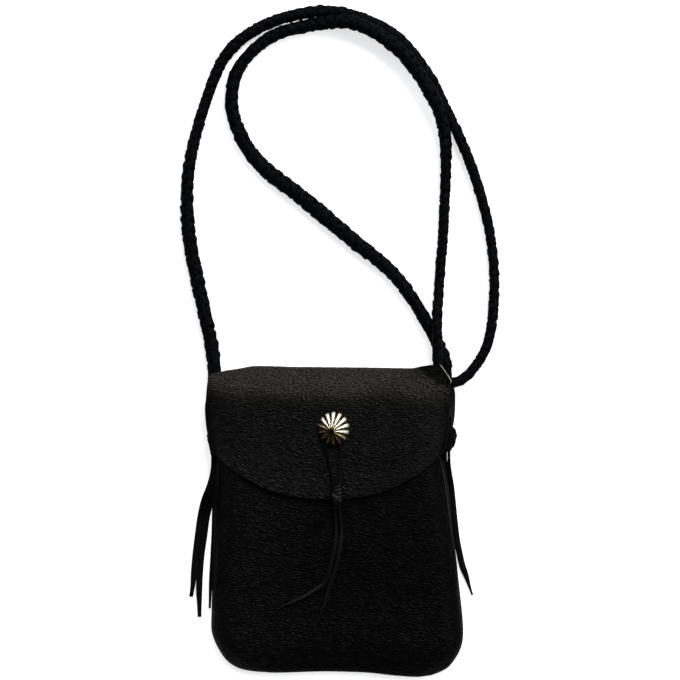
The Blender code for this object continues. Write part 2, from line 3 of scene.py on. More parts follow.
import bpy
import numpy as np
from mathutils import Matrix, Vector


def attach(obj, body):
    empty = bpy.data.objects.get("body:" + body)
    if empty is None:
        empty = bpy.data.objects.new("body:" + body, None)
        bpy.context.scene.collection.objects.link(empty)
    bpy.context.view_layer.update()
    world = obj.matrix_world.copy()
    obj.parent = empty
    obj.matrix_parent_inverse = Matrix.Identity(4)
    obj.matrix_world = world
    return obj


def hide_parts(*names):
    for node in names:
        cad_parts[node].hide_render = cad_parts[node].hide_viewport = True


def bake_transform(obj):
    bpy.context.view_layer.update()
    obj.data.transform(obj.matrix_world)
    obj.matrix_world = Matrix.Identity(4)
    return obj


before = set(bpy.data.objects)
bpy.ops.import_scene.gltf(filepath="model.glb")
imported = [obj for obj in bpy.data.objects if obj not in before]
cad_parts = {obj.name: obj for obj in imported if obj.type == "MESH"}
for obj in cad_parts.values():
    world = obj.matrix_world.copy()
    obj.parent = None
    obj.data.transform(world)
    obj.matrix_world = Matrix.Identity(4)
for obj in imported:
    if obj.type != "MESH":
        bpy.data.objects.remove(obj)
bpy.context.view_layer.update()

# The camera looks straight down, as in the photograph
VIEW_CENTRE = (0.0035, 0.1029, 0.002)
VIEW_WIDTH = 0.3876
CAMERA_LENS = 0.2
CAMERA_SENSOR = 0.036

# The studio: each light's name, place, width, power in watts and colour, and the floor
LIGHTS = [
    ("key", (1.1, 2.45, 2.1), 2.2, 170.0, (1.0, 0.985, 0.96)),
    ("right", (2.7, 0.6, 2.0), 1.3, 42.0, (1.0, 1.0, 1.0)),
    ("top_left", (-1.6, 2.4, 1.6), 1.3, 40.0, (0.95, 0.97, 1.0)),
]
ROOM_COLOUR = (0.9, 0.94, 1.0, 1.0)
ROOM_STRENGTH = 0.3
FLOOR_COLOUR = (0.62, 0.62, 0.62, 1.0)
FLOOR_GLOW = 0.64
FLOOR_HALF_WIDTH = 4.0

# How fine the meshes are, in rows and columns of points
FRONT_GRID = (241, 217)
BACK_GRID = (181, 121)
FOOT_ROWS = 16
BEND_ROWS = 36
FLAP_ROWS = 93
FLAP_COLUMNS = 233
SHARP_ANGLE = math.radians(50)

# Leather
LEATHER_THICKNESS = 0.0014
GAP = 0.0003
GRAIN_HEIGHT = 0.0001
GRAIN_LENGTH = 0.0064
GRAIN_WIDTH = 0.0034
GRAIN_LEAN = 0.15
GRAIN_WANDER_ACROSS = 0.0018
GRAIN_WANDER_ALONG = 0.0014
EDGE_SINK = 0.00018
PUCKER_HEIGHT = 0.0003
FLOOR_CLEARANCE = 0.0002

# The leathers' fine patterns: lumps a metre across, along and up, with depths and shares
PEBBLES_A_METRE = (320.0, 620.0, 320.0)
PEBBLE_BEND = (1.3, 1.6, 0.0)
PEBBLE_DEPTH = 0.0003
BENDS_A_METRE = (150.0, 190.0, 150.0)
SHADES_A_METRE = (110.0, 160.0, 110.0)
PORES_A_METRE = (3200.0, 4200.0, 3200.0)
PORE_SHARE = 0.12
SPECKS_A_METRE = (800.0, 1000.0, 800.0)
NAP_A_METRE = (900.0, 2600.0, 900.0)
NAP_DEPTH = 0.00022
FIBRES_A_METRE = (1000.0, 1600.0, 1000.0)
MOST_GLOSS = 0.05
SCRATCH_DEPTH = 0.00004

# Colours, as linear red, green, blue and opacity
BLACK_LOW = (0.0003, 0.0003, 0.0003, 1.0)
BLACK_HIGH = (0.0008, 0.0008, 0.0007, 1.0)
# Painted highlight: the colour of the light's sheen along the fold
FOLD_HIGHLIGHT_COLOUR = (0.018, 0.0165, 0.0132, 1.0)
FLESH_COLOUR = (0.01, 0.0096, 0.009, 1.0)
# Painted highlight: the colour of edges where they catch the light
EDGE_HIGHLIGHT_COLOUR = (0.35, 0.345, 0.33, 1.0)
SILVER_BRIGHT = (0.93, 0.9, 0.82, 1.0)
SILVER_WARM = (0.42, 0.31, 0.14, 1.0)
# Dark silver for the oxide in the grooves and for the painted shade on one side
SILVER_OXIDE_AND_SHADE = (0.02, 0.014, 0.007, 1.0)
SHANK_DARK = (0.3, 0.27, 0.22, 1.0)
SHANK_LIGHT = (0.62, 0.6, 0.55, 1.0)

# The pouch's outline, from the mouth down each side to the end of its bottom corner
LEFT_OUTLINE = [
    (-0.0603, 0.064), (-0.0604, 0.048), (-0.0612, 0.042), (-0.066, 0.036), (-0.0668, 0.025),
    (-0.067, 0.0134), (-0.0673, -0.0105), (-0.0687, -0.032), (-0.0692, -0.0515), (-0.0693, -0.062),
    (-0.0679, -0.0675), (-0.0649, -0.0738), (-0.0604, -0.08), (-0.054, -0.0841), (-0.0478, -0.0857),
    (-0.041, -0.0864),
]
RIGHT_OUTLINE = [
    (0.0563, 0.064), (0.0564, 0.048), (0.0574, 0.041), (0.0608, 0.0356), (0.0636, 0.021),
    (0.0652, 0.01), (0.0666, 0.0), (0.069, -0.019), (0.0707, -0.0347), (0.0719, -0.0453),
    (0.073, -0.0567), (0.0733, -0.0635), (0.0726, -0.0705), (0.0701, -0.0766), (0.065, -0.0834),
    (0.0604, -0.0862), (0.0548, -0.0883),
]
# The bottom seam's line between the two corners, as (x, y)
BOTTOM_LINE = [
    (-0.041, -0.0864), (-0.033, -0.0868), (-0.0204, -0.0865), (-0.0067, -0.0861), (0.007, -0.0863),
    (0.0206, -0.0869), (0.0343, -0.0884), (0.048, -0.0892), (0.0548, -0.0883),
]
FRONT_HEIGHT = 0.0137
FRONT_HEIGHT_AT_BOTTOM = 0.0114
SEAM_Z = 0.0017
SIDE_ROUNDING = 0.0125
BOTTOM_ROUNDING = 0.021
FRONT_SWELL = 0.00035
FRONT_CROWDING = 0.86

# How much the front shines: all over, more at the left, more low down, and at its seam; all of it well
# below the flap's, as painted shade for the light falling off below the fold
FRONT_SHINE_LEVEL = 0.4
LEFT_SHINE_LEVEL = 0.24
LOW_SHINE_LEVEL = 0.12
SEAM_SHINE_LEVEL = 0.25
BACK_SHINE_LEVEL = 0.5
# A painted highlight along the front's rolled edges, where they catch the light: its strength and
# width
EDGE_HIGHLIGHT_STRENGTH = 0.07
EDGE_HIGHLIGHT_WIDTH = 0.0007

# The back's ears, as (x, y), from the fold's foot down to where the sides begin
BACK_LEFT_EAR = [
    (-0.0633, 0.0789), (-0.0633, 0.0722), (-0.064, 0.0714), (-0.0706, 0.0715), (-0.0731, 0.068),
    (-0.0731, 0.056), (-0.0716, 0.047), (-0.0689, 0.038), (-0.0688, 0.027), (-0.0684, 0.01),
    (-0.0684, -0.008),
]
BACK_RIGHT_EAR = [
    (0.0553, 0.0789), (0.0553, 0.0722), (0.056, 0.0714), (0.0652, 0.0716), (0.0664, 0.0765),
    (0.0676, 0.0776), (0.0688, 0.075), (0.0692, 0.065), (0.0686, 0.057), (0.0666, 0.048),
    (0.0646, 0.039), (0.065, 0.03), (0.0658, 0.02), (0.0664, 0.01),
]
SEAM_LIP = 0.0005

# The flap and the fold: the leather's edges as (y, x), from the fold's top down
FLAP_LEFT = [
    (0.088, -0.0698), (0.0836, -0.07), (0.0819, -0.0711), (0.0699, -0.0726), (0.0625, -0.0731),
    (0.0516, -0.0717), (0.042, -0.07), (0.039, -0.0688), (0.0374, -0.0671),
]
FLAP_RIGHT = [
    (0.0895, 0.0599), (0.0891, 0.0602), (0.079, 0.0668), (0.078, 0.0663), (0.07, 0.0656),
    (0.0494, 0.0651), (0.043, 0.064), (0.0395, 0.0622), (0.0374, 0.0608),
]
# The fold's top line, as (x, y)
FOLD_TOP_LINE = [
    (-0.072, 0.0835), (-0.07, 0.0838), (-0.061, 0.0857), (-0.054, 0.0868), (-0.047, 0.0881),
    (-0.0409, 0.0883), (-0.02, 0.0877), (0.01, 0.0875), (0.036, 0.087), (0.0451, 0.0871),
    (0.053, 0.0882), (0.0602, 0.0893), (0.068, 0.0894),
]
FOLD_FOOT_Y = 0.0789
FOLD_SIDE_Z = 0.00775
FLAP_Z = 0.0155
FLAP_FLAT_Y = 0.069
FLAP_BOTTOM_Y = 0.0129
FLAP_ARC_RISE = 0.0245
FLAP_ARC_POWER = 2.4
FLAP_SIDE_DROOP = 0.005
FLAP_EDGE_LIFT = 0.0008
FLAP_DROOP_WIDTH = 0.02
FLAP_DROOP_SPAN = (-0.084, -0.056)
FOLD_FOOT_LEFT_X = -0.0633
FOLD_FOOT_RIGHT_X = 0.0553
FOLD_LEFT_END = (-0.07, 0.0836)
FOLD_RIGHT_END = (0.0602, 0.0891)
RIGHT_CORNER_Z = 0.0147
LEFT_CORNER_Z = 0.0104
CREASE_CENTRE = (0.0668, 0.0905)
CREASES_A_TURN = 15
CREASE_DEPTH = 0.00045
FLAP_SHINE_LEVEL = 0.92
FLAP_SIDE_DULLING = 0.7
FLAP_DULL_WIDTH = 0.006
# A painted highlight along the fold, standing in for the light's sheen on its curve, and how far it
# fades above and below its middle
FOLD_HIGHLIGHT_Y = 0.078
FOLD_HIGHLIGHT_ABOVE = 0.0105
FOLD_HIGHLIGHT_BELOW = 0.0072

# The strap: its route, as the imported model's, and its plaiting
STRAP_DIAMETER = 0.0063
STRAP_ROUTE = [
    (-0.068, 0.0511, 0.005), (-0.0675, 0.0765, 0.005), (-0.0693, 0.0972, 0.0034),
    (-0.0754, 0.1263, 0.0033), (-0.0826, 0.164, 0.0033), (-0.0828, 0.1987, 0.0033),
    (-0.0732, 0.238, 0.0033), (-0.062, 0.2643, 0.0033), (-0.0483, 0.2774, 0.0033),
    (-0.0261, 0.2871, 0.0033), (0.0013, 0.2899, 0.0033), (0.0337, 0.2771, 0.0033),
    (0.0519, 0.2567, 0.0033), (0.0644, 0.2332, 0.0033), (0.0776, 0.2038, 0.0033),
    (0.0885, 0.1656, 0.0033), (0.0913, 0.1314, 0.0033), (0.0872, 0.0998, 0.0033),
    (0.0754, 0.0824, 0.007), (0.0671, 0.0787, 0.0098), (0.0611, 0.0819, 0.0098),
    (0.0587, 0.1115, 0.0094), (0.0598, 0.1314, 0.0034), (0.0628, 0.1742, 0.0033),
    (0.063, 0.22, 0.0066), (0.0576, 0.238, 0.0087), (0.0363, 0.2686, 0.0085), (0.0101, 0.2833, 0.0083),
    (-0.0107, 0.2826, 0.0038), (-0.0364, 0.2751, 0.0033), (-0.0546, 0.2568, 0.0033),
    (-0.058, 0.2352, 0.0033), (-0.0466, 0.2084, 0.0033), (-0.0164, 0.1827, 0.0033),
    (0.0076, 0.1625, 0.0033), (0.0357, 0.1385, 0.0033), (0.0553, 0.1083, 0.0033),
    (0.0637, 0.0887, 0.0033), (0.0629, 0.08, 0.0037), (0.0621, 0.071, 0.0052), (0.0642, 0.0551, 0.005),
]
# How wide the plait lies along the strap, as (share of its length, share of its diameter)
STRAP_FULLNESS = [
    (0.0, 1.3), (0.03, 1.38), (0.07, 1.44), (0.1, 1.42), (0.13, 1.2), (0.17, 1.04), (0.2, 1.16),
    (0.3, 1.14), (0.37, 1.02), (0.42, 0.98), (0.57, 0.98), (0.61, 1.05), (0.65, 1.4), (0.71, 1.44),
    (0.76, 1.2), (0.8, 1.4), (0.84, 1.66), (0.87, 1.66), (0.9, 1.44), (0.93, 1.3), (1.0, 1.25),
]
STRAP_TALLEST = 1.06
STRAND_ROUGHNESS = 0.32
BRAID_LAY = 0.0122
BRAID_STEP = 0.001
# The strands' reach from the middle and their size, as shares of the strap's half width
STRAND_REACH = 0.66
STRAND_WEAVE = 0.05
STRAND_WIDTH = 0.57
STRAND_THICKNESS = 0.29
BRAID_CORE = 0.42

# The knots at the strap's ends
STRAP_KNOT_TURNS = 3.2
STRAP_KNOT_STRAND = 0.0018
STRAP_KNOT_SLANT = 0.0013
LEFT_KNOT_ROUTE = [(-0.0688, 0.0508, 0.0052), (-0.0678, 0.043, 0.0055), (-0.067, 0.0368, 0.0052)]
RIGHT_KNOT_ROUTE = [(0.0645, 0.0546, 0.0052), (0.0662, 0.048, 0.0055), (0.0646, 0.0408, 0.0052)]

# The thongs, with what is left of the width at the knot and at the tip
THONG_WIDTH = 0.0038
SHORT_THONG_WIDTH = 0.0022
THONG_THICKNESS = 0.0011
THONG_TWIST = 0.25
THONG_TAPER_FROM = 0.8
THONG_ROOT = 0.45
THONG_TIP = 0.6
THONG_TIPS = {"right_thong": 0.3}
THONG_ROUTES = {
    "left_thong_outer": [
        (-0.0688, 0.0363, 0.008), (-0.0694, 0.027, 0.0066), (-0.0711, 0.019, 0.0056),
        (-0.0739, 0.0112, 0.0034), (-0.0761, 0.0015, 0.0009), (-0.0775, -0.0088, 0.0009),
        (-0.0787, -0.0185, 0.0009), (-0.0795, -0.027, 0.0009), (-0.0804, -0.0367, 0.0009),
        (-0.0814, -0.0435, 0.0009),
    ],
    "left_thong_inner": [
        (-0.069, 0.0363, 0.0053), (-0.0692, 0.027, 0.0044), (-0.0696, 0.019, 0.0034),
        (-0.0705, 0.0112, 0.0024), (-0.0726, 0.0015, 0.001), (-0.074, -0.0088, 0.0009),
        (-0.0754, -0.0185, 0.0009), (-0.0762, -0.027, 0.0009), (-0.0768, -0.0378, 0.0009),
        (-0.0767, -0.047, 0.0009), (-0.0766, -0.055, 0.0009),
    ],
    "left_thong_short": [
        (-0.0692, 0.0363, 0.0026), (-0.0689, 0.027, 0.0012), (-0.0684, 0.012, 0.0009),
        (-0.0686, -0.003, 0.0009), (-0.0692, -0.017, 0.0009), (-0.0701, -0.033, 0.0009),
        (-0.0708, -0.05, 0.0009),
    ],
    "right_thong": [
        (0.0655, 0.0402, 0.005), (0.0657, 0.031, 0.003), (0.0668, 0.02, 0.0012),
        (0.0679, 0.009, 0.0009), (0.069, -0.002, 0.0009), (0.0701, -0.011, 0.0009),
        (0.0717, -0.019, 0.0009), (0.0733, -0.0259, 0.0009), (0.0756, -0.0321, 0.0009),
        (0.0774, -0.0378, 0.0009), (0.079, -0.0425, 0.0009),
    ],
}

# The tie lace: two strands under the dome, a wound knot and two tails on the front
LACE_WIDTH = 0.0021
TAIL_WIDTH = 0.0027
TAIL_LIFT = 0.0004
LACE_THICKNESS = 0.0009
KNOT_CENTRE = (0.0018, 0.0149, 0.0184)
KNOT_LENGTH = 0.0112
KNOT_TURNS = 4.5
KNOT_TUCK = [(-0.0022, 0.001, 0.0012), (-0.0004, -0.0012, 0.0022), (0.0024, -0.0032, 0.001)]
KNOT_CORE = (0.004, 0.0026)
LEFT_STRAND = [
    (-0.0042, 0.049, 0.0166), (-0.005, 0.0424, 0.0163), (-0.0036, 0.036, 0.0162),
    (-0.0016, 0.0277, 0.0164), (-0.0003, 0.0196, 0.018),
]
RIGHT_STRAND = [
    (0.0038, 0.049, 0.0166), (0.0041, 0.0424, 0.0163), (0.004, 0.035, 0.0162), (0.004, 0.0277, 0.0164),
    (0.0036, 0.0196, 0.018),
]
LONG_TAIL = [
    (0.003, 0.0086), (0.0038, 0.002), (0.0043, -0.0048), (0.0037, -0.013), (0.0026, -0.02),
    (0.0006, -0.028), (-0.0026, -0.037), (-0.0048, -0.045), (-0.01, -0.0578), (-0.0158, -0.0686),
]
SHORT_TAIL = [
    (0.0005, 0.0086), (0.001, 0.001), (0.0013, -0.006), (0.0005, -0.014), (-0.0012, -0.022),
    (-0.0036, -0.031), (-0.0059, -0.0356), (-0.0106, -0.039), (-0.0164, -0.0424), (-0.0227, -0.0455),
    (-0.0286, -0.0478), (-0.0356, -0.0536),
]

# The silver dome
DOME_CENTRE = (-0.0001, 0.0527, 0.0168)
DOME_HALF_WIDTH = 0.0092
DOME_HALF_LENGTH = 0.0098
DOME_HEIGHT = 0.0046
DOME_SKIN = 0.0008
DOME_SKIN_AT_TOP = 0.0009
DOME_RINGS = 40
DOME_FLUTES = 14
POINTS_A_FLUTE = 14
DOME_GROOVE = 0.0019
DOME_SCALLOP = 0.12
DOME_HUB_SHIFT = (-0.0014, -0.0012)
# The side of the dome darkened with painted shade, away from the key light
SHADED_SIDE_DIRECTION = math.radians(-118)


# Small helpers for curves and grids of points

def eased(value, start, end):
    part = np.clip((np.asarray(value, float) - start) / (end - start), 0.0, 1.0)
    return part * part * (3 - 2 * part)


def unit(vectors):
    return vectors / np.maximum(np.linalg.norm(vectors, axis=-1, keepdims=True), 1e-12)


def smooth_curve(points, steps=12):
    """Points on a smooth curve (centripetal Catmull-Rom) through the chosen ones."""
    route = np.array(points, float)
    route = np.vstack([2 * route[0] - route[1], route, 2 * route[-1] - route[-2]])
    found = []
    for before, start, end, after in zip(route, route[1:], route[2:], route[3:]):
        t0 = math.sqrt(np.linalg.norm(start - before))
        t1 = math.sqrt(np.linalg.norm(end - start))
        t2 = math.sqrt(np.linalg.norm(after - end))
        leave = (end - start) - t1 * (end - before) / (t0 + t1) + t1 * (start - before) / t0
        arrive = (end - start) - t1 * (after - start) / (t1 + t2) + t1 * (after - end) / t2
        s = np.linspace(0, 1, steps, endpoint=False)[:, None]
        found.append(
            (2 * s**3 - 3 * s**2 + 1) * start
            + (s**3 - 2 * s**2 + s) * leave
            + (3 * s**2 - 2 * s**3) * end
            + (s**3 - s**2) * arrive
        )
    found.append(route[-2:-1])
    return np.vstack(found)


def run_along(curve):
    """How far along the curve each of its points lies."""
    return np.concatenate([[0.0], np.cumsum(np.linalg.norm(np.diff(curve, axis=0), axis=1))])


def between(places, along, values):
    """The values at these places, read off from where each one lies along a path."""
    return np.stack([np.interp(places, along, axis) for axis in values.T], axis=1)


def evenly(curve, count):
    """As many points as asked for, evenly spaced along the curve."""
    along = run_along(curve)
    return between(np.linspace(0.0, along[-1], count), along, curve)


def length_of(curve):
    return float(np.linalg.norm(np.diff(curve, axis=0), axis=1).sum())


def read_off(table, at):
    """The second value at each first one, on a smooth line through the table's points."""
    line = smooth_curve(table, 16)
    line = line[np.argsort(line[:, 0], kind="stable")]
    return np.interp(at, line[:, 0], line[:, 1])


def carried_frame(points):
    """The side and up directions along a path, turning no more than it does."""
    headings = unit(np.gradient(points, axis=0))
    side = np.cross(headings[0], (0.0, 0.0, 1.0))
    sides = []
    for heading in headings:
        side = unit(side - heading * (side @ heading))
        sides.append(side)
    sides = np.array(sides)
    return sides, np.cross(sides, headings)


def level_frame(points):
    """As carried_frame, with the side direction kept level."""
    headings = unit(np.gradient(points, axis=0))
    sides = unit(np.cross(headings, (0.0, 0.0, 1.0)))
    return sides, np.cross(sides, headings)


# Smooth noise and wrinkled grain over a flat sheet of leather

def scattered(i, j, seed):
    """A number from 0 to 1 for each cell of a grid, in no visible order."""
    value = np.sin(i * 12.9898 + j * 78.233 + seed * 37.719) * 43758.5453
    return value - np.floor(value)


def soft_noise(x, y, size, seed):
    """Smooth lumps from -1 to 1, about this size across."""
    u = np.asarray(x, float) / size
    v = np.asarray(y, float) / size
    i, j = np.floor(u), np.floor(v)
    a = (u - i) ** 2 * (3 - 2 * (u - i))
    b = (v - j) ** 2 * (3 - 2 * (v - j))
    low = scattered(i, j, seed) * (1 - a) + scattered(i + 1, j, seed) * a
    high = scattered(i, j + 1, seed) * (1 - a) + scattered(i + 1, j + 1, seed) * a
    return 2 * (low * (1 - b) + high * b) - 1


def cell_edges(x, y, seed):
    """How near each point is to the border of its cell: 0 on it, about 1 in the middle."""
    i, j = np.floor(x), np.floor(y)
    nearest = np.full(np.shape(x), 9.0)
    second = nearest.copy()
    for di in (-1, 0, 1):
        for dj in (-1, 0, 1):
            px = i + di + 0.15 + 0.7 * scattered(i + di, j + dj, seed)
            py = j + dj + 0.15 + 0.7 * scattered(i + di, j + dj, seed + 5)
            distance = np.hypot(px - x, py - y)
            second = np.minimum(second, np.maximum(nearest, distance))
            nearest = np.minimum(nearest, distance)
    return np.clip((second - nearest) * 1.6, 0.0, 1.0)


def grain(x, y):
    """The leather's wrinkles: long low cells between wandering creases, from -1 to 0."""
    across = x + GRAIN_WANDER_ACROSS * soft_noise(x, y, 0.007, 11)
    along = y + GRAIN_LEAN * x + GRAIN_WANDER_ALONG * soft_noise(x, y, 0.008, 12)
    fine = eased(cell_edges(across / GRAIN_LENGTH, along / GRAIN_WIDTH, 1), 0.0, 0.8)
    strength = 0.75 + 0.25 * soft_noise(x, y, 0.022, 21)
    return (fine - 1) * strength


# Meshes

def finish_mesh(name, mesh, material):
    mesh.shade_smooth()
    mesh.set_sharp_from_angle(angle=SHARP_ANGLE)
    mesh.materials.append(material)
    piece = bpy.data.objects.new(name, mesh)
    bpy.context.scene.collection.objects.link(piece)
    return piece


def set_values(mesh, name, values):
    """Stores one number or one vector for each point, for the material to read."""
    values = np.asarray(values, np.float32)
    if values.ndim == 1:
        mesh.attributes.new(name, "FLOAT", "POINT").data.foreach_set("value", values)
    else:
        mesh.attributes.new(name, "FLOAT_VECTOR", "POINT").data.foreach_set("vector", values.ravel())


def grid_faces(rows, columns, first=0, turned=False):
    index = first + np.arange(rows * columns).reshape(rows, columns)
    corners = [index[:-1, :-1], index[:-1, 1:], index[1:, 1:], index[1:, :-1]]
    if turned:
        corners = corners[::-1]
    return np.stack(corners, axis=-1).reshape(-1, 4)


def border_of(rows, columns):
    """The grid's border as (row, column), once round."""
    top = [(0, column) for column in range(columns)]
    right = [(row, columns - 1) for row in range(1, rows)]
    bottom = [(rows - 1, column) for column in range(columns - 2, -1, -1)]
    left = [(row, 0) for row in range(rows - 2, 0, -1)]
    return top + right + bottom + left


def sheet_normals(points):
    down = np.gradient(points, axis=0)
    across = np.gradient(points, axis=1)
    return unit(np.cross(across, down))


def leather_sheet(name, points, relief, place, marks, raw=0.0, facing=None):
    """A sheet of leather with a fine outer skin, a raw edge and a coarser inner skin.

    points is a grid of the outer skin's places, with an odd number of rows and of
    columns. relief raises the outer skin, place is where each point lies in the flat
    hide, and marks holds more values for the material. raw is how much of the paler
    inside shows at the raw edge; facing is the way a level sheet's outer skin looks.
    """
    rows, columns = points.shape[:2]
    normals = -sheet_normals(points)
    turned = facing is None or normals[rows // 2, columns // 2] @ facing > 0
    if facing is not None:
        normals = np.broadcast_to(facing, points.shape)
    edge = np.ones((rows, columns))
    edge[0, :] = edge[-1, :] = edge[:, 0] = edge[:, -1] = 0.0
    outer = points + normals * (relief * edge - EDGE_SINK * (1 - edge))[..., None]
    inner = (points - normals * LEATHER_THICKNESS)[::2, ::2]
    inner_rows, inner_columns = inner.shape[:2]
    shift = rows * columns
    faces = grid_faces(rows, columns, 0, turned).tolist()
    faces += grid_faces(inner_rows, inner_columns, shift, not turned).tolist()
    ring = border_of(rows, columns)
    for step in range(0, len(ring), 2):
        (r0, c0), (r1, c1), (r2, c2) = (ring[(step + k) % len(ring)] for k in range(3))
        a, b, c = r0 * columns + c0, r1 * columns + c1, r2 * columns + c2
        low_a = shift + (r0 // 2) * inner_columns + c0 // 2
        low_c = shift + (r2 // 2) * inner_columns + c2 // 2
        made = [(b, a, low_a), (b, low_a, low_c), (c, b, low_c)]
        faces += [face if turned else face[::-1] for face in made]
    mesh = bpy.data.meshes.new(name)
    mesh.from_pydata(np.vstack([outer.reshape(-1, 3), inner.reshape(-1, 3)]).tolist(), [], faces)
    mesh.update()
    outer_place = np.concatenate([place, np.zeros((rows, columns, 1))], axis=-1)
    inner_place = outer_place[::2, ::2] + (0.5, 0.5, 0.0)
    set_values(mesh, "place", np.vstack([outer_place.reshape(-1, 3), inner_place.reshape(-1, 3)]))
    for mark, values in marks.items():
        set_values(mesh, mark, np.concatenate([values.ravel(), np.zeros(inner_rows * inner_columns)]))
    flesh = np.concatenate([((1 - edge) * raw).ravel(), np.ones(inner_rows * inner_columns)])
    set_values(mesh, "flesh", flesh)
    return finish_mesh(name, mesh, LEATHER)


def tubes_mesh(name, tubes, material):
    """Closed tubes in one mesh. Each is an array of rings of points, with its ends filled."""
    points, faces, spots = [], [], []
    first = 0
    for tube_index, rings in enumerate(tubes):
        count, sides = rings.shape[:2]
        around = np.arange(sides)
        beside = (around + 1) % sides
        for ring in range(count - 1):
            low = first + ring * sides
            high = low + sides
            faces += np.stack([low + around, low + beside, high + beside, high + around], 1).tolist()
        faces.append([first + k for k in range(sides - 1, -1, -1)])
        faces.append([first + (count - 1) * sides + k for k in range(sides)])
        spot = np.zeros((count, sides, 3))
        spot[..., 0] = run_along(rings.mean(axis=1))[:, None]
        spot[..., 1] = (around / sides)[None, :] * 0.008
        spot[..., 2] = tube_index * 0.05
        points.append(rings.reshape(-1, 3))
        spots.append(spot.reshape(-1, 3))
        first += count * sides
    mesh = bpy.data.meshes.new(name)
    mesh.from_pydata(np.vstack(points).tolist(), [], faces)
    mesh.update()
    set_values(mesh, "place", np.vstack(spots))
    return finish_mesh(name, mesh, material)


# Materials

def new_material(name):
    material = bpy.data.materials.new(name)
    material.use_nodes = True
    tree = material.node_tree
    return material, tree, tree.nodes["Principled BSDF"]


def add(tree, kind, sockets=None, **settings):
    """A node with its settings and its input sockets filled or linked."""
    node = tree.nodes.new(kind)
    for name, value in settings.items():
        setattr(node, name, value)
    for name, value in (sockets or {}).items():
        if isinstance(value, bpy.types.NodeSocket):
            tree.links.new(value, node.inputs[name])
        else:
            node.inputs[name].default_value = value
    return node


def read_value(tree, name):
    return add(tree, "ShaderNodeAttribute", attribute_name=name)


def spread_out(tree, vector, scale):
    """The place on the hide, stretched so that one unit is one cell."""
    return add(tree, "ShaderNodeVectorMath", {0: vector, 1: scale}, operation="MULTIPLY").outputs[0]


def noise(tree, place, lumps, detail, output="Fac"):
    """Soft noise over the hide, with this many lumps a metre each way."""
    sockets = {"Vector": spread_out(tree, place, lumps), "Scale": 1.0, "Detail": detail}
    return add(tree, "ShaderNodeTexNoise", sockets).outputs[output]


def remap(tree, value, low, high, to_low, to_high):
    sockets = {"Value": value, "From Min": low, "From Max": high, "To Min": to_low, "To Max": to_high}
    return add(tree, "ShaderNodeMapRange", sockets).outputs[0]


def calculate(tree, kind, first, second):
    return add(tree, "ShaderNodeMath", {0: first, 1: second}, operation=kind).outputs[0]


def add_bump(tree, shader, height, strength, distance):
    sockets = {"Strength": strength, "Distance": distance, "Height": height}
    bump = add(tree, "ShaderNodeBump", sockets)
    tree.links.new(bump.outputs["Normal"], shader.inputs["Normal"])


def mix_colours(tree, factor, first, second):
    node = tree.nodes.new("ShaderNodeMix")
    node.data_type = "RGBA"
    wanted = (("Factor", "VALUE", factor), ("A", "RGBA", first), ("B", "RGBA", second))
    for name, kind, value in wanted:
        socket = next(s for s in node.inputs if s.name == name and s.type == kind)
        if isinstance(value, bpy.types.NodeSocket):
            tree.links.new(value, socket)
        else:
            socket.default_value = value
    return next(s for s in node.outputs if s.type == "RGBA")


def bag_leather():
    """Black pebbled hide: a painted highlight along the fold, painted highlights on some edges, and
    paler where the flesh side shows.
    """
    material, tree, shader = new_material("bag_leather")
    place = read_value(tree, "place").outputs["Vector"]
    fold_highlight = read_value(tree, "fold_highlight").outputs["Fac"]
    flesh = read_value(tree, "flesh").outputs["Fac"]
    edge_highlight = read_value(tree, "edge_highlight").outputs["Fac"]
    shine_level = read_value(tree, "shine_level").outputs["Fac"]
    bend = noise(tree, place, BENDS_A_METRE, 2.0, "Color")
    cells = spread_out(tree, place, PEBBLES_A_METRE)
    sockets = {0: bend, 1: PEBBLE_BEND, 2: cells}
    bent = add(tree, "ShaderNodeVectorMath", sockets, operation="MULTIPLY_ADD")
    pebbles = add(
        tree,
        "ShaderNodeTexVoronoi",
        {"Vector": bent.outputs[0], "Scale": 1.0, "Randomness": 0.85},
        feature="DISTANCE_TO_EDGE",
    ).outputs["Distance"]
    wander = noise(tree, place, SHADES_A_METRE, 5.0)
    pores = noise(tree, place, PORES_A_METRE, 2.0)
    black = mix_colours(tree, wander, BLACK_LOW, BLACK_HIGH)
    specks = noise(tree, place, SPECKS_A_METRE, 2.0)
    # Painted highlight: the light's sheen along the fold, speckled, painted into the colour
    tops = remap(tree, specks, 0.4, 0.66, 0.05, 2.1)
    share = calculate(tree, "MULTIPLY", fold_highlight, tops)
    highlighted = mix_colours(tree, share, black, FOLD_HIGHLIGHT_COLOUR)
    skin = mix_colours(tree, flesh, highlighted, FLESH_COLOUR)
    # Painted highlight on edges that catch the light
    skin = mix_colours(tree, edge_highlight, skin, EDGE_HIGHLIGHT_COLOUR)
    tree.links.new(skin, shader.inputs["Base Color"])
    gloss = remap(tree, wander, 0.3, 0.7, 0.5, 0.38)
    tree.links.new(gloss, shader.inputs["Roughness"])
    # How much each part shines; the front's is lowered as painted shade
    shine = remap(tree, shine_level, 0.0, 1.0, 0.0, MOST_GLOSS)
    tree.links.new(shine, shader.inputs["Specular IOR Level"])
    relief = calculate(tree, "MULTIPLY", pores, PORE_SHARE)
    height = remap(tree, pebbles, 0.0, 0.3, 0.0, 1.0)
    add_bump(tree, shader, calculate(tree, "ADD", height, relief), 1.0, PEBBLE_DEPTH)
    return material


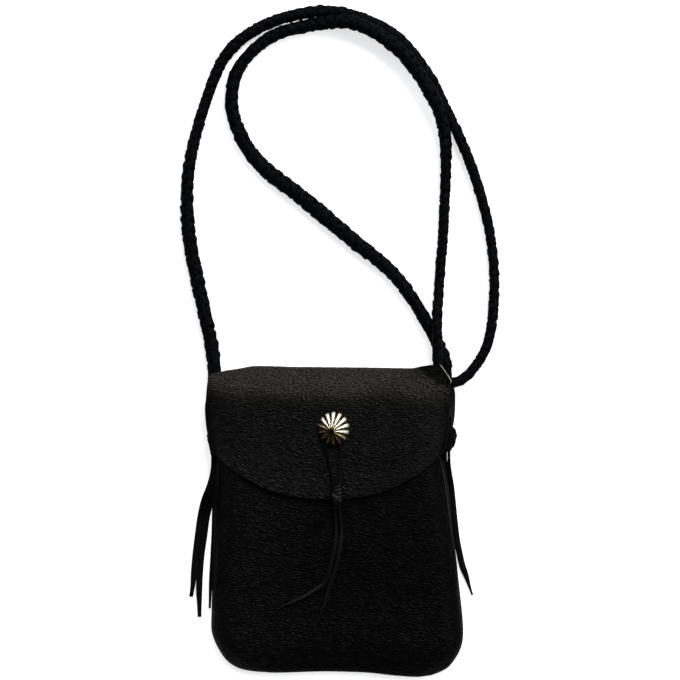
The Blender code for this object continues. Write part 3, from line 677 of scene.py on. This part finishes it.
def suede(name, dark, light, roughness, gloss):
    """Matt black thong leather with a short nap and a few paler fibres."""
    material, tree, shader = new_material(name)
    place = read_value(tree, "place").outputs["Vector"]
    nap = noise(tree, place, NAP_A_METRE, 4.0)
    patches = noise(tree, place, FIBRES_A_METRE, 3.0)
    share = remap(tree, patches, 0.48, 0.72, 0.0, 1.0)
    colour = mix_colours(tree, share, (*dark, 1.0), (*light, 1.0))
    tree.links.new(colour, shader.inputs["Base Color"])
    uneven = remap(tree, patches, 0.3, 0.7, roughness + 0.1, roughness - 0.08)
    tree.links.new(uneven, shader.inputs["Roughness"])
    shader.inputs["Specular IOR Level"].default_value = gloss
    add_bump(tree, shader, nap, 0.9, NAP_DEPTH)
    return material


def metal_noise(tree, scale, detail):
    """Soft noise through a piece of metal, with this many lumps a metre."""
    coords = add(tree, "ShaderNodeTexCoord").outputs["Object"]
    sockets = {"Vector": coords, "Scale": scale, "Detail": detail}
    return add(tree, "ShaderNodeTexNoise", sockets).outputs["Fac"]


def antiqued_silver():
    """Warm polished silver, oxidised dark in the grooves, with painted shade low on the flutes on the
    side away from the key light.
    """
    material, tree, shader = new_material("antiqued_silver")
    # The oxide in the grooves and the painted shade on one side both darken the silver
    oxide_and_shade = read_value(tree, "oxide_and_shade").outputs["Fac"]
    uneven = calculate(tree, "MULTIPLY", metal_noise(tree, 900.0, 4.0), 0.45)
    dark = calculate(tree, "ADD", oxide_and_shade, uneven)
    warm = remap(tree, dark, 0.3, 0.6, 0.0, 1.0)
    share = remap(tree, dark, 0.5, 0.85, 0.0, 1.0)
    bright = mix_colours(tree, warm, SILVER_BRIGHT, SILVER_WARM)
    colour = mix_colours(tree, share, bright, SILVER_OXIDE_AND_SHADE)
    tree.links.new(colour, shader.inputs["Base Color"])
    tree.links.new(remap(tree, share, 0.0, 1.0, 0.3, 0.55), shader.inputs["Roughness"])
    shader.inputs["Metallic"].default_value = 1.0
    add_bump(tree, shader, metal_noise(tree, 2600.0, 2.0), 0.25, SCRATCH_DEPTH)
    return material


def plain_silver():
    """The hidden wire shank's finish."""
    material, tree, shader = new_material("shank_silver")
    colour = mix_colours(tree, metal_noise(tree, 700.0, 3.0), SHANK_DARK, SHANK_LIGHT)
    tree.links.new(colour, shader.inputs["Base Color"])
    shader.inputs["Metallic"].default_value = 1.0
    shader.inputs["Roughness"].default_value = 0.35
    return material


LEATHER = bag_leather()
BRAID_LEATHER = suede("braided_leather", (0.0001, 0.0001, 0.0002), (0.0042, 0.0055, 0.0078), 0.6, 0.02)
THONG_LEATHER = suede("thong_leather", (0.0003, 0.0003, 0.0004), (0.0018, 0.0019, 0.002), 0.55, 0.04)
LACE_LEATHER = suede("lace_leather", (0.0002, 0.0002, 0.0002), (0.0013, 0.0013, 0.0013), 0.36, 0.1)
SILVER = antiqued_silver()


# Camera, lights and floor

def make_camera():
    data = bpy.data.cameras.new("camera")
    data.lens = CAMERA_LENS * 1000
    data.sensor_width = CAMERA_SENSOR * 1000
    camera = bpy.data.objects.new("camera", data)
    height = VIEW_WIDTH * CAMERA_LENS / CAMERA_SENSOR
    camera.location = (VIEW_CENTRE[0], VIEW_CENTRE[1], VIEW_CENTRE[2] + height)
    bpy.context.scene.collection.objects.link(camera)
    bpy.context.scene.camera = camera


def add_light(name, place, size, power, colour):
    data = bpy.data.lights.new(name, "AREA")
    data.shape = "DISK"
    data.size = size
    data.energy = power
    data.color = colour
    light = bpy.data.objects.new(name, data)
    light.location = place
    aim = Vector(VIEW_CENTRE) - Vector(place)
    light.rotation_euler = aim.to_track_quat("-Z", "Y").to_euler()
    bpy.context.scene.collection.objects.link(light)


def make_stage():
    bpy.context.scene.view_settings.view_transform = "Standard"
    world = bpy.data.worlds.new("studio")
    world.use_nodes = True
    world.node_tree.nodes["Background"].inputs["Color"].default_value = ROOM_COLOUR
    world.node_tree.nodes["Background"].inputs["Strength"].default_value = ROOM_STRENGTH
    bpy.context.scene.world = world
    for light in LIGHTS:
        add_light(*light)
    mesh = bpy.data.meshes.new("floor")
    half = FLOOR_HALF_WIDTH
    corners = [(-half, -half, 0), (half, -half, 0), (half, half, 0), (-half, half, 0)]
    mesh.from_pydata(corners, [], [(0, 1, 2, 3)])
    material, _, shader = new_material("floor_white")
    finish = {"Base Color": FLOOR_COLOUR, "Roughness": 0.8, "Specular IOR Level": 0.1}
    glow = {"Emission Color": (1.0, 1.0, 1.0, 1.0), "Emission Strength": FLOOR_GLOW}
    for name, value in (finish | glow).items():
        shader.inputs[name].default_value = value
    floor = finish_mesh("floor", mesh, material)


# Cords: the plaited strap, its knots, the thongs and the lace

def flat_section(half_width, half_thickness, sides, squareness=0.72):
    """A flat strip's section with round edges, as (across, up) for each side."""
    angles = 2 * math.pi * (np.arange(sides) + 0.5) / sides
    across = np.sign(np.cos(angles)) * np.abs(np.cos(angles)) ** squareness * half_width
    up = np.sign(np.sin(angles)) * np.abs(np.sin(angles)) ** squareness * half_thickness
    return across, up


def strand_rings(centre, outward, half_width, half_thickness, sides, seed=0):
    """Rings of a flat strand along its own line, its broad side facing outward."""
    heading = unit(np.gradient(centre, axis=0))
    up = unit(outward - heading * np.sum(outward * heading, axis=1, keepdims=True))
    side = np.cross(heading, up)
    across, lift = flat_section(1.0, 1.0, sides)
    run = run_along(centre)[:, None]
    nap = soft_noise(run, np.arange(sides)[None, :] * 0.0008, 0.0014, seed)
    nap = 1 + STRAND_ROUGHNESS * nap
    spread = side[:, None] * (across[None, :] * half_width[:, None] * nap)[..., None]
    rise = up[:, None] * (lift[None, :] * half_thickness[:, None] * nap)[..., None]
    return centre[:, None] + spread + rise


def round_rings(path, side, up, wide, tall, sides):
    """Rings of a round or oval core along a path."""
    angles = 2 * math.pi * np.arange(sides) / sides
    ring = side[:, None] * (np.cos(angles)[None, :] * wide[:, None])[..., None]
    ring = ring + up[:, None] * (np.sin(angles)[None, :] * tall[:, None])[..., None]
    return path[:, None] + ring


def braid_tubes(path, wide, tall, lay, sides=10, seed=1):
    """Four flat thongs plaited round a thin core that lies wider than it is tall."""
    side, up = level_frame(path)
    run = run_along(path)
    middle = (wide + tall) / 2
    tubes = []
    for strand in range(4):
        way = 1 if strand % 2 == 0 else -1
        start = math.pi * (strand // 2) + (0.0 if way == 1 else math.pi / 2)
        uneven = 0.16 * soft_noise(run, 0 * run, 0.011, seed + strand)
        angle = way * 2 * math.pi * run / lay + start + uneven
        reach = STRAND_REACH + STRAND_WEAVE * way * np.cos(2 * angle)
        reach = reach * (1 + 0.08 * soft_noise(run, 0 * run + 5.0, 0.007, seed + 9 + strand))
        sideways = side * (np.cos(angle) * wide)[:, None]
        upward = up * (np.sin(angle) * tall)[:, None]
        centre = path + (sideways + upward) * reach[:, None]
        width = middle * (STRAND_WIDTH + 0.07 * soft_noise(run, 0 * run, 0.009, seed + 20 + strand))
        thickness = middle * STRAND_THICKNESS
        tubes.append(strand_rings(centre, sideways + upward, width, thickness, sides, seed + strand))
    tubes.append(round_rings(path, side, up, BRAID_CORE * wide, BRAID_CORE * tall, 8))
    return tubes


def rest_on_floor(tubes):
    for rings in tubes:
        rings[..., 2] = np.maximum(rings[..., 2], FLOOR_CLEARANCE)


def make_strap():
    route = smooth_curve(STRAP_ROUTE, 24)
    length = length_of(route)
    path = evenly(route, int(length / BRAID_STEP))
    share = np.linspace(0, 1, len(path))
    fullness = np.interp(share, *np.array(STRAP_FULLNESS).T)
    wide = STRAP_DIAMETER / 2 * fullness
    tall = STRAP_DIAMETER / 2 * np.minimum(fullness, STRAP_TALLEST)
    tubes = braid_tubes(path, wide, tall, BRAID_LAY)
    rest_on_floor(tubes)
    strap = tubes_mesh("braided_strap", tubes, BRAID_LEATHER)
    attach(strap, "pouch")
    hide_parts("neck_strap")
    return strap, path, length


def make_strap_knot(name, node, route, seed):
    """The strap's end, wound three times round with its own thong and pulled tight."""
    path = evenly(smooth_curve(route, 24), 60)
    side, up = carried_frame(path)
    share = np.linspace(0, 1, len(path))
    core = STRAP_DIAMETER / 2 * (0.78 + 0.12 * np.sin(math.pi * share))
    tubes = [round_rings(path, side, up, core, core, 12)]
    count = 220
    place = np.linspace(0.03, 0.97, count)
    at, across, rise = (between(place, share, values) for values in (path, side, up))
    turn = 2 * math.pi * STRAP_KNOT_TURNS * place + seed
    lumps = 1 + 0.17 * soft_noise(place, 0 * place, 0.085, seed * 7)
    outward = across * np.cos(turn)[:, None] + rise * (0.8 * np.sin(turn))[:, None]
    reach = STRAP_DIAMETER / 2 * lumps * (0.62 + 0.22 * np.sin(math.pi * place) ** 0.7)
    slant = unit(np.gradient(at, axis=0)) * (STRAP_KNOT_SLANT * np.sin(2 * turn))[:, None]
    centre = at + outward * reach[:, None] + slant
    width = STRAP_KNOT_STRAND * (1 + 0.15 * np.sin(turn * 1.3))
    tubes.append(strand_rings(centre, outward, width, width * 0.55, 10, 3))
    rest_on_floor(tubes)
    knot = tubes_mesh(name, tubes, BRAID_LEATHER)
    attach(knot, "pouch")
    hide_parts(node)
    return knot


def ribbon_rings(path, width, thickness, twist, taper_from=0.55, tip=0.42, root=1.0, sides=10):
    """A flat strip that narrows to its tip, and to its root where a knot draws it in."""
    side, up = level_frame(path)
    share = np.linspace(0, 1, len(path))
    narrow = 1 - (1 - tip) * eased(share, taper_from, 1.0)
    narrow = narrow * (root + (1 - root) * eased(share, 0.03, 0.3))
    cosine, sine = np.cos(twist)[:, None], np.sin(twist)[:, None]
    lying = side * cosine + up * sine
    facing = up * cosine - side * sine
    across, lift = flat_section(width / 2, thickness / 2, sides)
    spread = lying[:, None] * (across[None, :] * narrow[:, None])[..., None]
    rise = facing[:, None] * np.broadcast_to(lift[None, :, None], (len(path), sides, 1))
    return path[:, None] + spread + rise


def make_thong(name, node, route, seed):
    path = evenly(smooth_curve(route, 16), 120)
    share = np.linspace(0, 1, len(path))
    twist = THONG_TWIST * soft_noise(share, 0 * share, 0.23, seed) * eased(share, 0.0, 0.2)
    width = SHORT_THONG_WIDTH if node == "left_thong_short" else THONG_WIDTH
    tip = THONG_TIPS.get(node, THONG_TIP)
    rings = ribbon_rings(path, width, THONG_THICKNESS, twist, THONG_TAPER_FROM, tip, THONG_ROOT)
    rest_on_floor([rings])
    thong = tubes_mesh(name, [rings], THONG_LEATHER)
    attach(thong, "pouch")
    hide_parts(node)


# The pouch's front, which also carries the lace's tails

def rounded(distance, radius):
    part = np.clip(np.asarray(distance, float) / radius, 0.0, 1.0)
    return np.sqrt(1 - (1 - part) ** 2)


def outline_x(table, y):
    """The side's place at this level, from an outline listed from the top down."""
    line = smooth_curve(table, 16)
    return np.interp(-np.asarray(y, float), -line[:, 1], line[:, 0])


def bottom_y(x):
    return read_off(BOTTOM_LINE, x)


def spread_between(left, right, across):
    """A grid of places between two sides, its last row drawn down to the bottom line."""
    share = across[None, :, None]
    flat = left[:, None] * (1 - share) + right[:, None] * share
    drawn = eased(np.linspace(0, 1, len(left)), 0.55, 1.0)[:, None]
    flat[..., 1] += drawn * (bottom_y(flat[-1, :, 0]) - flat[-1, :, 1])[None, :]
    return flat


def front_z(x, y):
    """The puffed front's height, before its grain."""
    x, y = np.asarray(x, float), np.asarray(y, float)
    left = outline_x(LEFT_OUTLINE, y)
    right = outline_x(RIGHT_OUTLINE, y)
    side = np.minimum(x - left, right - x)
    bottom = bottom_y(x)
    height = FRONT_HEIGHT - (FRONT_HEIGHT - FRONT_HEIGHT_AT_BOTTOM) * eased(-y, 0.0, 0.0866)
    height = height + FRONT_SWELL * soft_noise(x, y, 0.045, 31) * eased(side, 0.004, 0.03)
    rise = rounded(side, SIDE_ROUNDING) * rounded(y - bottom, BOTTOM_ROUNDING)
    return SEAM_Z + (height - SEAM_Z) * rise


def make_front():
    rows, columns = FRONT_GRID
    left = evenly(smooth_curve(LEFT_OUTLINE, 16), rows)
    right = evenly(smooth_curve(RIGHT_OUTLINE, 16), rows)
    across = np.sin(np.linspace(-0.5, 0.5, columns) * math.pi * FRONT_CROWDING)
    flat = spread_between(left, right, (across / across[-1] + 1) / 2)
    x, y = flat[..., 0], flat[..., 1]
    z = front_z(x, y)
    points = np.stack([x, y, z], axis=-1)
    side = np.minimum(x - x[:, :1], x[:, -1:] - x)
    seam = np.minimum(side, y - y[-1:])
    pucker = soft_noise(x * 0.35, y, 0.0042, 41) * soft_noise(x, y, 0.02, 42)
    relief = GRAIN_HEIGHT * grain(x, y)
    relief = relief + PUCKER_HEIGHT * pucker * eased(0.016 - seam, 0.0, 0.012)
    relief = relief + 0.00006 * soft_noise(x, y * 1.5, 0.009, 43)
    # Painted shade: the front shines less than the flap, for the light falling off below the fold
    shine_level = FRONT_SHINE_LEVEL + LEFT_SHINE_LEVEL * eased(-x, 0.0, 0.045)
    shine_level = shine_level + LOW_SHINE_LEVEL * eased(-y, 0.03, 0.07)
    marks = {"shine_level": shine_level * (SEAM_SHINE_LEVEL + (1 - SEAM_SHINE_LEVEL) * eased(seam, 0.001, 0.008))}
    # A painted highlight along the front's sides, where the rolled edge catches the light
    shown_to = np.where(x < 0, 0.008, -0.023)
    shown = eased(y - shown_to, 0.0, 0.018) * eased(-y, -0.038, -0.034)
    marks["edge_highlight"] = EDGE_HIGHLIGHT_STRENGTH * shown * eased(EDGE_HIGHLIGHT_WIDTH - side, 0.0, 0.0004)
    front = leather_sheet("front_leather", points, relief, flat, marks)
    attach(front, "pouch")
    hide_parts("front_panel")


# The back, flat on the table, with its two ears

def make_back():
    rows, columns = BACK_GRID
    sides = []
    for ear, outline, way in ((BACK_LEFT_EAR, LEFT_OUTLINE, -1), (BACK_RIGHT_EAR, RIGHT_OUTLINE, 1)):
        below = [(x + way * SEAM_LIP, y) for x, y in outline if y < ear[-1][1] - 0.006]
        sides.append(evenly(smooth_curve(ear + below, 16), rows))
    flat = spread_between(*sides, np.linspace(0, 1, columns))
    x, y = flat[..., 0], flat[..., 1]
    points = np.stack([x, y, np.zeros_like(x)], axis=-1)
    relief = GRAIN_HEIGHT * (grain(x, -y) - 0.1)
    marks = {"shine_level": np.full_like(x, BACK_SHINE_LEVEL)}
    downward = np.array([0.0, 0.0, -1.0])
    back = leather_sheet("back_leather", points, relief, flat * (1, -1), marks, facing=downward)
    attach(back, "pouch")
    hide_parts("back_panel")


# The flap and the fold over the top, one hide

def fold_side_z(x):
    """The height at which the fold turns back, lifted at its two corners."""
    side_z = FOLD_SIDE_Z + (LEFT_CORNER_Z - FOLD_SIDE_Z) * eased(-x, 0.048, 0.063)
    return side_z + (RIGHT_CORNER_Z - FOLD_SIDE_Z) * eased(x, 0.04, 0.056)


def side_droop(x, y, left_x, right_x):
    """How far the flap's sides hang below its middle."""
    side = np.minimum(x - left_x, right_x - x)
    droop = FLAP_SIDE_DROOP * (1 - np.clip(side / FLAP_DROOP_WIDTH, 0, 1)) ** 2
    return droop * eased(-y, *FLAP_DROOP_SPAN)


def make_flap():
    u = np.linspace(-1, 1, FLAP_COLUMNS)
    rows = []
    across_share = (u + 1) / 2
    for step in range(FOOT_ROWS):
        turn = math.pi / 2 * step / FOOT_ROWS
        spread = eased(turn, 1.15, math.pi / 2)
        left_x = FOLD_FOOT_LEFT_X + (FOLD_LEFT_END[0] - FOLD_FOOT_LEFT_X) * spread
        right_x = FOLD_FOOT_RIGHT_X + (FOLD_RIGHT_END[0] - FOLD_FOOT_RIGHT_X) * spread
        x = left_x + (right_x - left_x) * across_share
        side_z = fold_side_z(x)
        top_y = read_off(FOLD_TOP_LINE, x)
        y = FOLD_FOOT_Y + (top_y - FOLD_FOOT_Y) * math.sin(turn)
        z = side_z * (1 - math.cos(turn))
        rows.append(np.stack([x, y, z], axis=-1))
    for step in range(BEND_ROWS):
        turn = math.pi / 2 * step / BEND_ROWS
        left_y = FLAP_FLAT_Y + (FOLD_LEFT_END[1] - FLAP_FLAT_Y) * math.cos(turn)
        right_y = FLAP_FLAT_Y + (FOLD_RIGHT_END[1] - FLAP_FLAT_Y) * math.cos(turn)
        left_x = read_off(FLAP_LEFT, left_y)
        right_x = read_off(FLAP_RIGHT, right_y)
        x = left_x + (right_x - left_x) * across_share
        side_z = fold_side_z(x)
        top_y = read_off(FOLD_TOP_LINE, x)
        y = FLAP_FLAT_Y + (top_y - FLAP_FLAT_Y) * math.cos(turn)
        z = side_z + (FLAP_Z - side_z) * math.sin(turn) - side_droop(x, y, left_x, right_x)
        rows.append(np.stack([x, y, z], axis=-1))
    arc = FLAP_BOTTOM_Y + FLAP_ARC_RISE * np.abs(u) ** FLAP_ARC_POWER
    for step in range(FLAP_ROWS):
        y = FLAP_FLAT_Y + (arc - FLAP_FLAT_Y) * step / (FLAP_ROWS - 1)
        left_x = read_off(FLAP_LEFT, y)
        right_x = read_off(FLAP_RIGHT, y)
        x = left_x + (right_x - left_x) * across_share
        lift = FLAP_EDGE_LIFT * eased(step / (FLAP_ROWS - 1), 0.75, 1.0)
        rows.append(np.stack([x, y, FLAP_Z + lift - side_droop(x, y, left_x, right_x)], axis=-1))
    points = np.array(rows)
    x, y = points[..., 0], points[..., 1]
    along = -run_along(points[:, FLAP_COLUMNS // 2])
    place = np.stack([x, np.broadcast_to(along[:, None], x.shape)], axis=-1)
    relief = GRAIN_HEIGHT * grain(place[..., 0], place[..., 1] + 0.3)
    relief = relief + 0.00008 * soft_noise(x, place[..., 1] * 1.4, 0.01, 51)
    fan = np.arctan2(CREASE_CENTRE[1] - y, CREASE_CENTRE[0] - x)
    folds = np.sin(CREASES_A_TURN * fan + 1.2 * soft_noise(x, y, 0.006, 52))
    visible = eased(np.arange(len(points)), FOOT_ROWS - 8, FOOT_ROWS + 2)[:, None]
    corner = eased(x + 1.13 * y, 0.1435, 0.149) * eased(y, 0.075, 0.0785) * visible
    relief = relief + CREASE_DEPTH * folds * corner
    # A painted highlight along the fold for the light's sheen on its curve, faint on the creased
    # corner
    above = y - FOLD_HIGHLIGHT_Y + 0.0022 * eased(x, 0.02, 0.06) + 0.0013 * soft_noise(x, 0 * x, 0.014, 54)
    highlight_band = np.exp(-((above / np.where(above > 0, FOLD_HIGHLIGHT_ABOVE, FOLD_HIGHLIGHT_BELOW)) ** 2)) * visible
    highlight_band = highlight_band * (0.75 + 0.25 * soft_noise(x, y, 0.012, 53)) * (1 - 0.85 * corner)
    # A painted highlight on the flap's right edge at the top corner, where it faces the light
    edge_highlight = np.zeros_like(x)
    edge_highlight[:, -1] = eased(y[:, -1], 0.078, 0.08) * visible[:, 0]
    side = np.minimum(x - x[:, :1], x[:, -1:] - x)
    shine_level = FLAP_SHINE_LEVEL - FLAP_SIDE_DULLING * eased(FLAP_DULL_WIDTH - side, 0.0, FLAP_DULL_WIDTH)
    marks = {"fold_highlight": np.clip(highlight_band, 0, 1), "edge_highlight": edge_highlight, "shine_level": shine_level * (1 - 0.6 * corner)}
    flap = leather_sheet("flap_leather", points, relief, place, marks, raw=0.5)
    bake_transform(flap)
    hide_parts("flap")


# The silver dome and the lace

def make_dome():
    segments = DOME_FLUTES * POINTS_A_FLUTE
    angle = 2 * math.pi * np.arange(segments) / segments + 0.1
    out = np.linspace(0.0, 1.0, DOME_RINGS)[1:]
    wave = np.abs(np.sin(DOME_FLUTES * angle / 2))
    crown = wave**0.8
    skins = []
    for inset, groove_depth in ((0.0, DOME_GROOVE), (DOME_SKIN, 0.0)):
        layer = []
        for share in out:
            reach = share * (1 - DOME_SCALLOP * (1 - crown) ** 1.5 * share**3)
            lift = (1 - share**2.3) ** 0.75 * (DOME_HEIGHT - inset)
            hollow = np.sin(math.pi * min(1.0, share * 1.06) ** 0.8) ** 0.7
            z = DOME_CENTRE[2] + lift - groove_depth * (1 - crown) * hollow
            shift = (1 - share) ** 1.2
            x = DOME_CENTRE[0] + DOME_HUB_SHIFT[0] * shift
            y = DOME_CENTRE[1] + DOME_HUB_SHIFT[1] * shift
            x = x + (DOME_HALF_WIDTH - inset) * reach * np.cos(angle)
            y = y + (DOME_HALF_LENGTH - inset) * reach * np.sin(angle)
            layer.append(np.stack([x, y, z], axis=-1))
        skins.append(np.array(layer))
    points = np.vstack([skin.reshape(-1, 3) for skin in skins])
    hub = [DOME_CENTRE[k] + DOME_HUB_SHIFT[k] for k in range(2)]
    top_z = DOME_CENTRE[2] + DOME_HEIGHT
    points = np.vstack([points, (*hub, top_z), (*hub, top_z - DOME_SKIN_AT_TOP)])
    ring_count = len(out)
    faces = []
    around = np.arange(segments)
    beside = (around + 1) % segments
    for skin in range(2):
        first = skin * ring_count * segments
        top = 2 * ring_count * segments + skin
        fan = np.stack([np.full(segments, top), first + around, first + beside], 1)
        faces += (fan if skin == 0 else fan[:, ::-1]).tolist()
        for ring in range(ring_count - 1):
            low = first + ring * segments
            high = low + segments
            quads = np.stack([low + around, high + around, high + beside, low + beside], 1)
            faces += (quads if skin == 0 else quads[:, ::-1]).tolist()
    outer_rim = (ring_count - 1) * segments
    inner_rim = (2 * ring_count - 1) * segments
    rim = np.stack([outer_rim + around, inner_rim + around, inner_rim + beside, outer_rim + beside], 1)
    faces += rim.tolist()
    mesh = bpy.data.meshes.new("silver_dome")
    mesh.from_pydata(points.tolist(), [], faces)
    mesh.update()
    groove = 1.4 * (1 - wave[None, :]) ** 1.2 * np.clip(out * 1.8, 0, 1)[:, None]
    centre_dark = np.clip(1 - out / 0.26, 0, 1)[:, None] * 0.8
    # Painted shade darkens the flutes on the side away from the key light; the ridges keep thin
    # painted highlights
    shade = np.cos(angle - SHADED_SIDE_DIRECTION)[None, :] * np.clip(out * 2.5, 0, 1)[:, None]
    ridge = eased(wave, 0.965, 1.0)[None, :] * eased(out, 0.2, 0.5)[:, None]
    oxide_and_shade = groove + centre_dark + 0.75 * eased(shade, -0.25, 0.55) * (1 - 0.6 * ridge)
    oxide_and_shade = np.clip(oxide_and_shade, 0, 1).ravel()
    set_values(mesh, "oxide_and_shade", np.concatenate([oxide_and_shade, np.full(len(oxide_and_shade), 0.6), [0.8, 0.8]]))
    dome = finish_mesh("silver_dome", mesh, SILVER)
    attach(dome, "flap")
    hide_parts("concho")


def make_lace_strands():
    tubes = []
    for index, route in enumerate((LEFT_STRAND, RIGHT_STRAND)):
        path = evenly(smooth_curve(route, 16), 46)
        share = np.linspace(0, 1, len(path))
        twist = (0.25 + 0.5 * share) * (1 if index else -1)
        tubes.append(ribbon_rings(path, LACE_WIDTH, LACE_THICKNESS, twist, taper_from=0.9, tip=0.8))
    lace = tubes_mesh("tie_lace_strands", tubes, THONG_LEATHER)
    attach(lace, "flap")
    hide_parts("tie_lace")


def make_tie_knot():
    """The lace wound round itself, wider low down, with one end tucked across."""
    count = 260
    share = np.linspace(0, 1, count)
    turn = 2 * math.pi * KNOT_TURNS * share
    reach = 0.0016 + 0.0009 * np.sin(math.pi * np.clip(share * 0.9 + 0.08, 0, 1)) ** 0.8
    outward = np.stack([np.cos(turn), 0 * turn, np.sin(turn)], axis=-1)
    drop = (KNOT_LENGTH - 0.002) * (0.5 - share) + 0.0007 * np.sin(turn + 0.6)
    winding = np.stack([reach * 1.12 * np.cos(turn), drop, reach * 0.62 * np.sin(turn)], axis=-1)
    width = np.full(count, LACE_WIDTH * 0.52)
    middle = np.array(KNOT_CENTRE)
    tubes = [strand_rings(middle + winding, outward, width, width * 0.55, 10)]
    path = evenly(smooth_curve(middle + KNOT_TUCK, 12), 30)
    tubes.append(ribbon_rings(path, LACE_WIDTH, LACE_THICKNESS, 0.3 + 0 * path[:, 0], 0.9, 0.8))
    end = np.array((0.0, KNOT_LENGTH * 0.46, 0.0))
    core = evenly(np.array([middle + end, middle - end]), 12)
    tubes.append(ribbon_rings(core, *KNOT_CORE, 0 * core[:, 0], 0.9, 0.8))
    knot = tubes_mesh("tie_knot_wound", tubes, LACE_LEATHER)
    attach(knot, "flap")
    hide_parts("tie_knot")


def make_tail(name, node, route, seed):
    """A tail of the lace, out of the knot and down over the flap's edge to the front."""
    start_z = KNOT_CENTRE[2] - 0.0012
    flat = np.array(route)
    rest = front_z(flat[:, 0], flat[:, 1]) + GAP + LACE_THICKNESS / 2 + TAIL_LIFT
    held = 1 - eased(FLAP_BOTTOM_Y - flat[:, 1], 0.004, 0.016)
    chosen = np.column_stack([flat, rest + (start_z - rest) * held])
    path = evenly(smooth_curve(chosen, 16), 130)
    share = np.linspace(0, 1, len(path))
    twist = 0.35 * np.sin(3.4 * share + seed) * eased(share, 0.0, 0.25)
    rings = ribbon_rings(path, TAIL_WIDTH, LACE_THICKNESS, twist, taper_from=0.5, tip=0.25, root=0.5)
    tail = tubes_mesh(name, [rings], LACE_LEATHER)
    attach(tail, "flap")
    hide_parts(node)


make_camera()
make_stage()
strap, strap_path, strap_length = make_strap()
left_knot = make_strap_knot("left_knot_wound", "left_strap_knot", LEFT_KNOT_ROUTE, 0.4)
right_knot = make_strap_knot("right_knot_wound", "right_strap_knot", RIGHT_KNOT_ROUTE, 2.1)
for seed, (node, route) in enumerate(THONG_ROUTES.items()):
    make_thong(node + "_strip", node, route, seed + 1.0)
make_front()
make_back()
make_flap()
make_dome()
make_lace_strands()
make_tie_knot()
make_tail("tie_tail_long_strip", "tie_tail_long", LONG_TAIL, 0.3)
make_tail("tie_tail_short_strip", "tie_tail_short", SHORT_TAIL, 1.7)
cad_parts["concho_shank"].data.materials.clear()
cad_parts["concho_shank"].data.materials.append(plain_silver())
